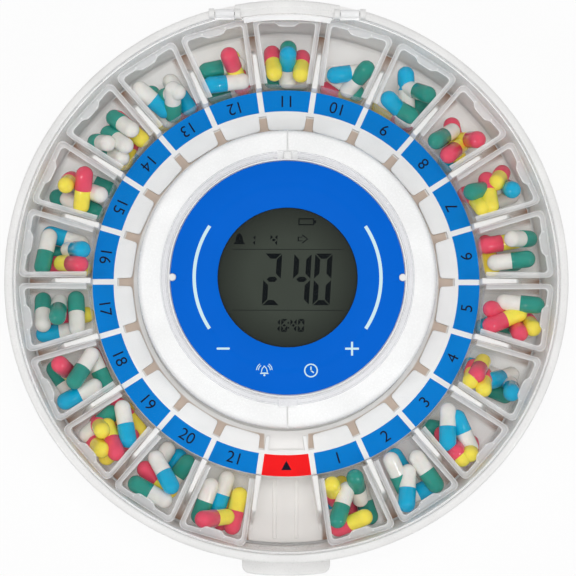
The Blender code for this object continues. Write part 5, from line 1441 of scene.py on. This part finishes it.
class PILLBOX_OT_capsules(bpy.types.Operator):
    """Fill the cups with two-coloured capsules that rest on each other"""

    bl_idname = "pillbox.capsules"
    bl_label = "Capsules"

    def execute(self, context):
        sizes = context.scene.pillbox_carousel
        colours = context.scene.pillbox_colours
        shells = {name: gelatin("gelatin_" + name, tuple(getattr(colours, name)))
                  for name in ("green", "blue", "red", "yellow", "white")}
        inner, outer, half_inner, half_outer = cup_sizes(sizes)
        slope = (half_outer - half_inner) / (outer - inner)
        radius, length = sizes.capsule_radius, sizes.capsule_length
        reach = length / 2 - radius
        margin = sizes.cup_wall + radius + 0.0003
        nearest = inner + sizes.cup_end + radius + 0.0005
        farthest = outer - margin - 0.0007
        floor = CUP_LOW.z + sizes.cup_wall + 0.0002
        ceiling = CUP_HIGH.z - 0.0014
        for index, rows in FILLS.items():
            settled = []
            pieces = []
            for kind, across, out, turn, pitch in rows:
                angle, lift = math.radians(turn), math.radians(pitch)
                flat = math.cos(lift)
                way = Vector((math.sin(angle) * flat, -math.cos(angle) * flat, math.sin(lift)))
                centre = Vector((out * MM, -across * MM, 0.0))
                for end in (centre + way * reach, centre - way * reach):
                    centre.x += max(0.0, nearest - end.x) - max(0.0, end.x - farthest)
                for end in (centre + way * reach, centre - way * reach):
                    limit = half_inner + slope * (end.x - inner) - margin - 0.0004
                    centre.y += max(0.0, -limit - end.y) - max(0.0, end.y - limit)
                axis = [centre + way * reach * share for share in (-1, -0.66, -0.33, 0, 0.33, 0.66, 1)]
                height = drop_height(axis, settled, 2 * radius, floor)
                height = min(height, ceiling - reach * abs(way.z) - radius)
                centre.z = height
                settled.append([point + Vector((0, 0, height)) for point in axis])
                cap_colour, body_colour = KINDS[kind]
                facing = Vector((1, 0, 0)).rotation_difference(way).to_matrix().to_4x4()
                place = bay_turn(index) @ Matrix.Translation(centre) @ facing
                for colour, is_cap in ((cap_colour, True), (body_colour, False)):
                    half = capsule_half(radius, length, is_cap)
                    half.data.materials.append(shells[colour])
                    half.matrix_world = place
                    pieces.append(half)
            group = shade(joined(f"capsules_{index:02d}", pieces), 50.0)
            settle(group, None, "carousel")
        return {"FINISHED"}


# Clear cover

class PILLBOX_OT_cover(bpy.types.Operator):
    """Make the clear cover with its collar, catch, exit window and hinge barrels"""

    bl_idname = "pillbox.cover"
    bl_label = "Clear cover"

    def execute(self, context):
        sizes = context.scene.pillbox_cover
        hub = context.scene.pillbox_hub
        drum = context.scene.pillbox_drum
        colours = context.scene.pillbox_colours
        edge_top = HINGE.z
        edge_bottom = edge_top - sizes.thickness
        middle_bottom = edge_bottom + sizes.rise
        middle_top = middle_bottom + sizes.thickness
        top = middle_bottom + sizes.collar_height
        outer, flat = COVER_HIGH.x, HUB_HIGH.x
        inside = FACE_HIGH.x + SEAT_GAP + hub.boss_rim + SEAT_GAP
        outside = inside + hub.collar_width
        steps = 12
        dome = [(flat + (outer - flat) * step / steps, middle_bottom - sizes.rise * (step / steps) ** 2)
                for step in range(steps + 1)]
        lip, dip = 0.00055, top - 0.0006
        upper = softened([(inside, middle_bottom), (inside, top), (inside + lip, top), (inside + lip, dip),
                          (outside - lip, dip), (outside - lip, top), (outside, top), (outside, middle_top),
                          (flat, middle_top)], 0.0003, 3, closed=False)
        profile = upper + [(x, z + sizes.thickness) for x, z in dome[1:-1]]
        profile += [(outer - 0.0005, edge_top), (outer - 0.0001, edge_top - 0.0002),
                    (outer, edge_top - 0.0006), (outer, edge_bottom)] + dome[-2::-1]
        cover = turned("cover_plate", profile)
        half = sizes.notch_width / 2
        over = top + CUT_BELOW
        rear_low, rear_high = (-half, 0.0, middle_bottom - CUT_BELOW), (half, outside + SEAT_GAP, over)
        carve(cover, block("rear_notch", rear_low, rear_high))
        carve(cover, block("front_notch", (-half, -outside, middle_top), (half, 0.0, over)))
        catch_half, catch_depth, catch_lift = 0.0037, 0.0035, 0.0005
        catch = block("catch", (-catch_half, -inside - catch_depth, middle_bottom + catch_lift),
                      (catch_half, -inside - SEAT_GAP, top + catch_lift), 0.0004)
        carve(cover, catch, "UNION")
        inner_edge, _, half_inner, _ = cup_sizes(context.scene.pillbox_carousel)
        window_outer = outer - sizes.window_border
        near = half_inner * WINDOW_SHARE
        wide = (window_outer * math.tan(HALF_BAY) - 0.0007 / math.cos(HALF_BAY)) * WINDOW_SHARE
        swing = math.degrees(math.asin(wide / window_outer))
        window = [(-near, -inner_edge)] + arc((0, 0), window_outer, 270 - swing, 270 + swing, 11)
        window.append((near, -inner_edge))
        below = edge_bottom - 0.003
        carve(cover, slab("window", [softened(window, 0.0006, 2)], below, top))
        rear = HINGE.y - drum.ear_radius - SEAT_GAP
        tongue = hinge_stations()[1] - drum.barrel_length / 2 - drum.ear_length - 3 * SEAT_GAP
        tongue_y = HINGE.y - SEAT_GAP
        turn = math.degrees(math.asin(tongue / tongue_y))
        behind = outer + CUT_BELOW
        trim = [(outer, rear), (outer, behind), (-outer, behind), (-outer, rear), (-tongue, rear)]
        trim += arc((0.0, 0.0), tongue_y, 90 + turn, 90 - turn, 25) + [(tongue, rear)]
        carve(cover, slab("rear_trim", [trim], below, top))
        span = drum.barrel_length / 2
        for middle in hinge_stations():
            left, right = middle - span, middle + span
            low = (left, rear - span, edge_bottom + 0.0003)
            carve(cover, block("lug", low, (right, HINGE.y, edge_top)), "UNION")
            for name, radius, past, way in (("barrel", drum.barrel_radius, 0.0, "UNION"),
                                            ("bore", 0.00095, 0.001, "DIFFERENCE")):
                ends = ((left - past, HINGE.y, HINGE.z), (right + past, HINGE.y, HINGE.z))
                carve(cover, rod(name, radius, *ends), way)
        cover.data.materials.clear()
        for material in (
                see_through("cover_clear", tuple(colours.clear), 0.0015, 0.6, 0.05, depth=0.000003),
                see_through("collar_clear", tuple(colours.collar), 0.24, 0.80, 0.08, depth=0.000003),
                see_through("barrel_frost", tuple(colours.cup_edge), 0.75, 0.95, 0.2)):
            cover.data.materials.append(material)
        for face in cover.data.polygons:
            middle = face.center
            if middle.y > rear:
                face.material_index = 2
            elif middle.z > middle_top - HAIR and math.hypot(middle.x, middle.y) < outside + HAIR:
                face.material_index = 1
        settle(cover, None, "cover", ["clear_cover"])
        return {"FINISHED"}


# Stage

def lamp(name, power, size, place, aim):
    """A square lamp that points at an aim."""
    data = bpy.data.lights.new(name, "AREA")
    data.energy = power
    data.size = size
    obj = add_piece(name, data)
    obj.location = place
    obj.rotation_euler = (Vector(aim) - Vector(place)).to_track_quat("-Z", "Y").to_euler()
    return obj


class PILLBOX_OT_stage(bpy.types.Operator):
    """Set the floor, the lamps, the even sky and the camera"""

    bl_idname = "pillbox.stage"
    bl_label = "Stage"

    def execute(self, context):
        scene = context.scene
        stage = scene.pillbox_stage
        scene.view_settings.view_transform = "Standard"
        floor = slab("floor", [circle(3.0, 64)], CAD_BOX[0][2] - 0.002, CAD_BOX[0][2] - 0.00005)
        nodes = Nodes("floor_white")
        nodes.dress(Base_Color=(*scene.pillbox_colours.stage, 1.0), Roughness=0.9)
        path = nodes.add("ShaderNodeLightPath").outputs
        seen = nodes.maths("MAXIMUM", path["Is Camera Ray"], path["Is Glossy Ray"])
        seen = nodes.maths("MAXIMUM", seen, path["Is Transmission Ray"])
        glow = nodes.add("ShaderNodeEmission", Color=(1.0, 1.0, 1.0, 1.0))
        mix = nodes.add("ShaderNodeMixShader")
        output = next(node for node in nodes.tree.nodes if node.type == "OUTPUT_MATERIAL")
        nodes.link(nodes.product(seen, stage.floor_glow), mix.inputs["Fac"])
        nodes.link(nodes.shader.outputs["BSDF"], mix.inputs[1])
        nodes.link(glow.outputs["Emission"], mix.inputs[2])
        nodes.link(mix.outputs["Shader"], output.inputs["Surface"])
        floor.data.materials.append(nodes.material)
        world = bpy.data.worlds.new("even_sky")
        world.use_nodes = True
        backdrop = world.node_tree.nodes["Background"]
        backdrop.inputs["Color"].default_value = (1.0, 1.0, 1.0, 1.0)
        backdrop.inputs["Strength"].default_value = stage.sky
        scene.world = world
        aim = (0.0, 0.0, 0.03)
        for name, side in (("left_lamp", -1), ("right_lamp", 1)):
            place = (side * stage.lamp_side, -stage.lamp_front, stage.lamp_height)
            lamp(name, stage.lamp_power, stage.lamp_size, place, aim)
        top_lamp = lamp("top_lamp", stage.top_power, stage.top_size, (0.0, 0.0, stage.top_height), aim)
        top_lamp.visible_glossy = False
        scene.cycles.transparent_max_bounces = 64
        scene.cycles.diffuse_bounces = 8
        scene.cycles.max_bounces = 16
        data = bpy.data.cameras.new("camera")
        data.lens = stage.lens
        data.sensor_width = 36.0
        camera = add_piece("camera", data)
        target = Vector((stage.aim_x, stage.aim_y, 0.0))
        way = Vector((-math.sin(stage.lean), -math.sin(stage.tilt), 0.0))
        way.z = math.sqrt(1.0 - way.length_squared)
        camera.location = target + way * stage.distance
        forward = -way
        right = forward.cross(Vector((0.0, 1.0, 0.0))).normalized()
        up = right.cross(forward)
        camera.rotation_euler = Matrix((right, up, -forward)).transposed().to_euler()
        scene.camera = camera
        return {"FINISHED"}


# Panel and registration

class PILLBOX_PT_panel(bpy.types.Panel):
    """Lists the pieces in the order in which they are made"""

    bl_label = "Pill box"
    bl_idname = "PILLBOX_PT_panel"
    bl_space_type = "VIEW_3D"
    bl_region_type = "UI"
    bl_category = "Pill box"

    def draw(self, context):
        layout = self.layout
        for maker in MAKERS:
            layout.operator(maker.bl_idname)


MAKERS = (
    PILLBOX_OT_drum, PILLBOX_OT_inner_parts, PILLBOX_OT_hub, PILLBOX_OT_face, PILLBOX_OT_display,
    PILLBOX_OT_number_ring, PILLBOX_OT_tray, PILLBOX_OT_cups, PILLBOX_OT_capsules, PILLBOX_OT_cover,
    PILLBOX_OT_stage,
)
GROUPS = {
    "pillbox_drum": PillBoxDrumSizes, "pillbox_hub": PillBoxHubSizes,
    "pillbox_carousel": PillBoxCarouselSizes, "pillbox_cover": PillBoxCoverSizes,
    "pillbox_colours": PillBoxColours, "pillbox_stage": PillBoxStage,
}


def register():
    """Add the classes and hang the settings on the scene."""
    for name, group in GROUPS.items():
        bpy.utils.register_class(group)
        setattr(bpy.types.Scene, name, PointerProperty(type=group))
    for maker in MAKERS:
        bpy.utils.register_class(maker)
    bpy.utils.register_class(PILLBOX_PT_panel)


def unregister():
    """Take away what register added."""
    bpy.utils.unregister_class(PILLBOX_PT_panel)
    for maker in reversed(MAKERS):
        bpy.utils.unregister_class(maker)
    for name, group in reversed(GROUPS.items()):
        delattr(bpy.types.Scene, name)
        bpy.utils.unregister_class(group)


def main():
    """Make every piece in order, then write the two boxes."""
    register()
    for maker in MAKERS:
        group, call = maker.bl_idname.split(".")
        getattr(getattr(bpy.ops, group), call)()


if __name__ == "__main__":
    main()
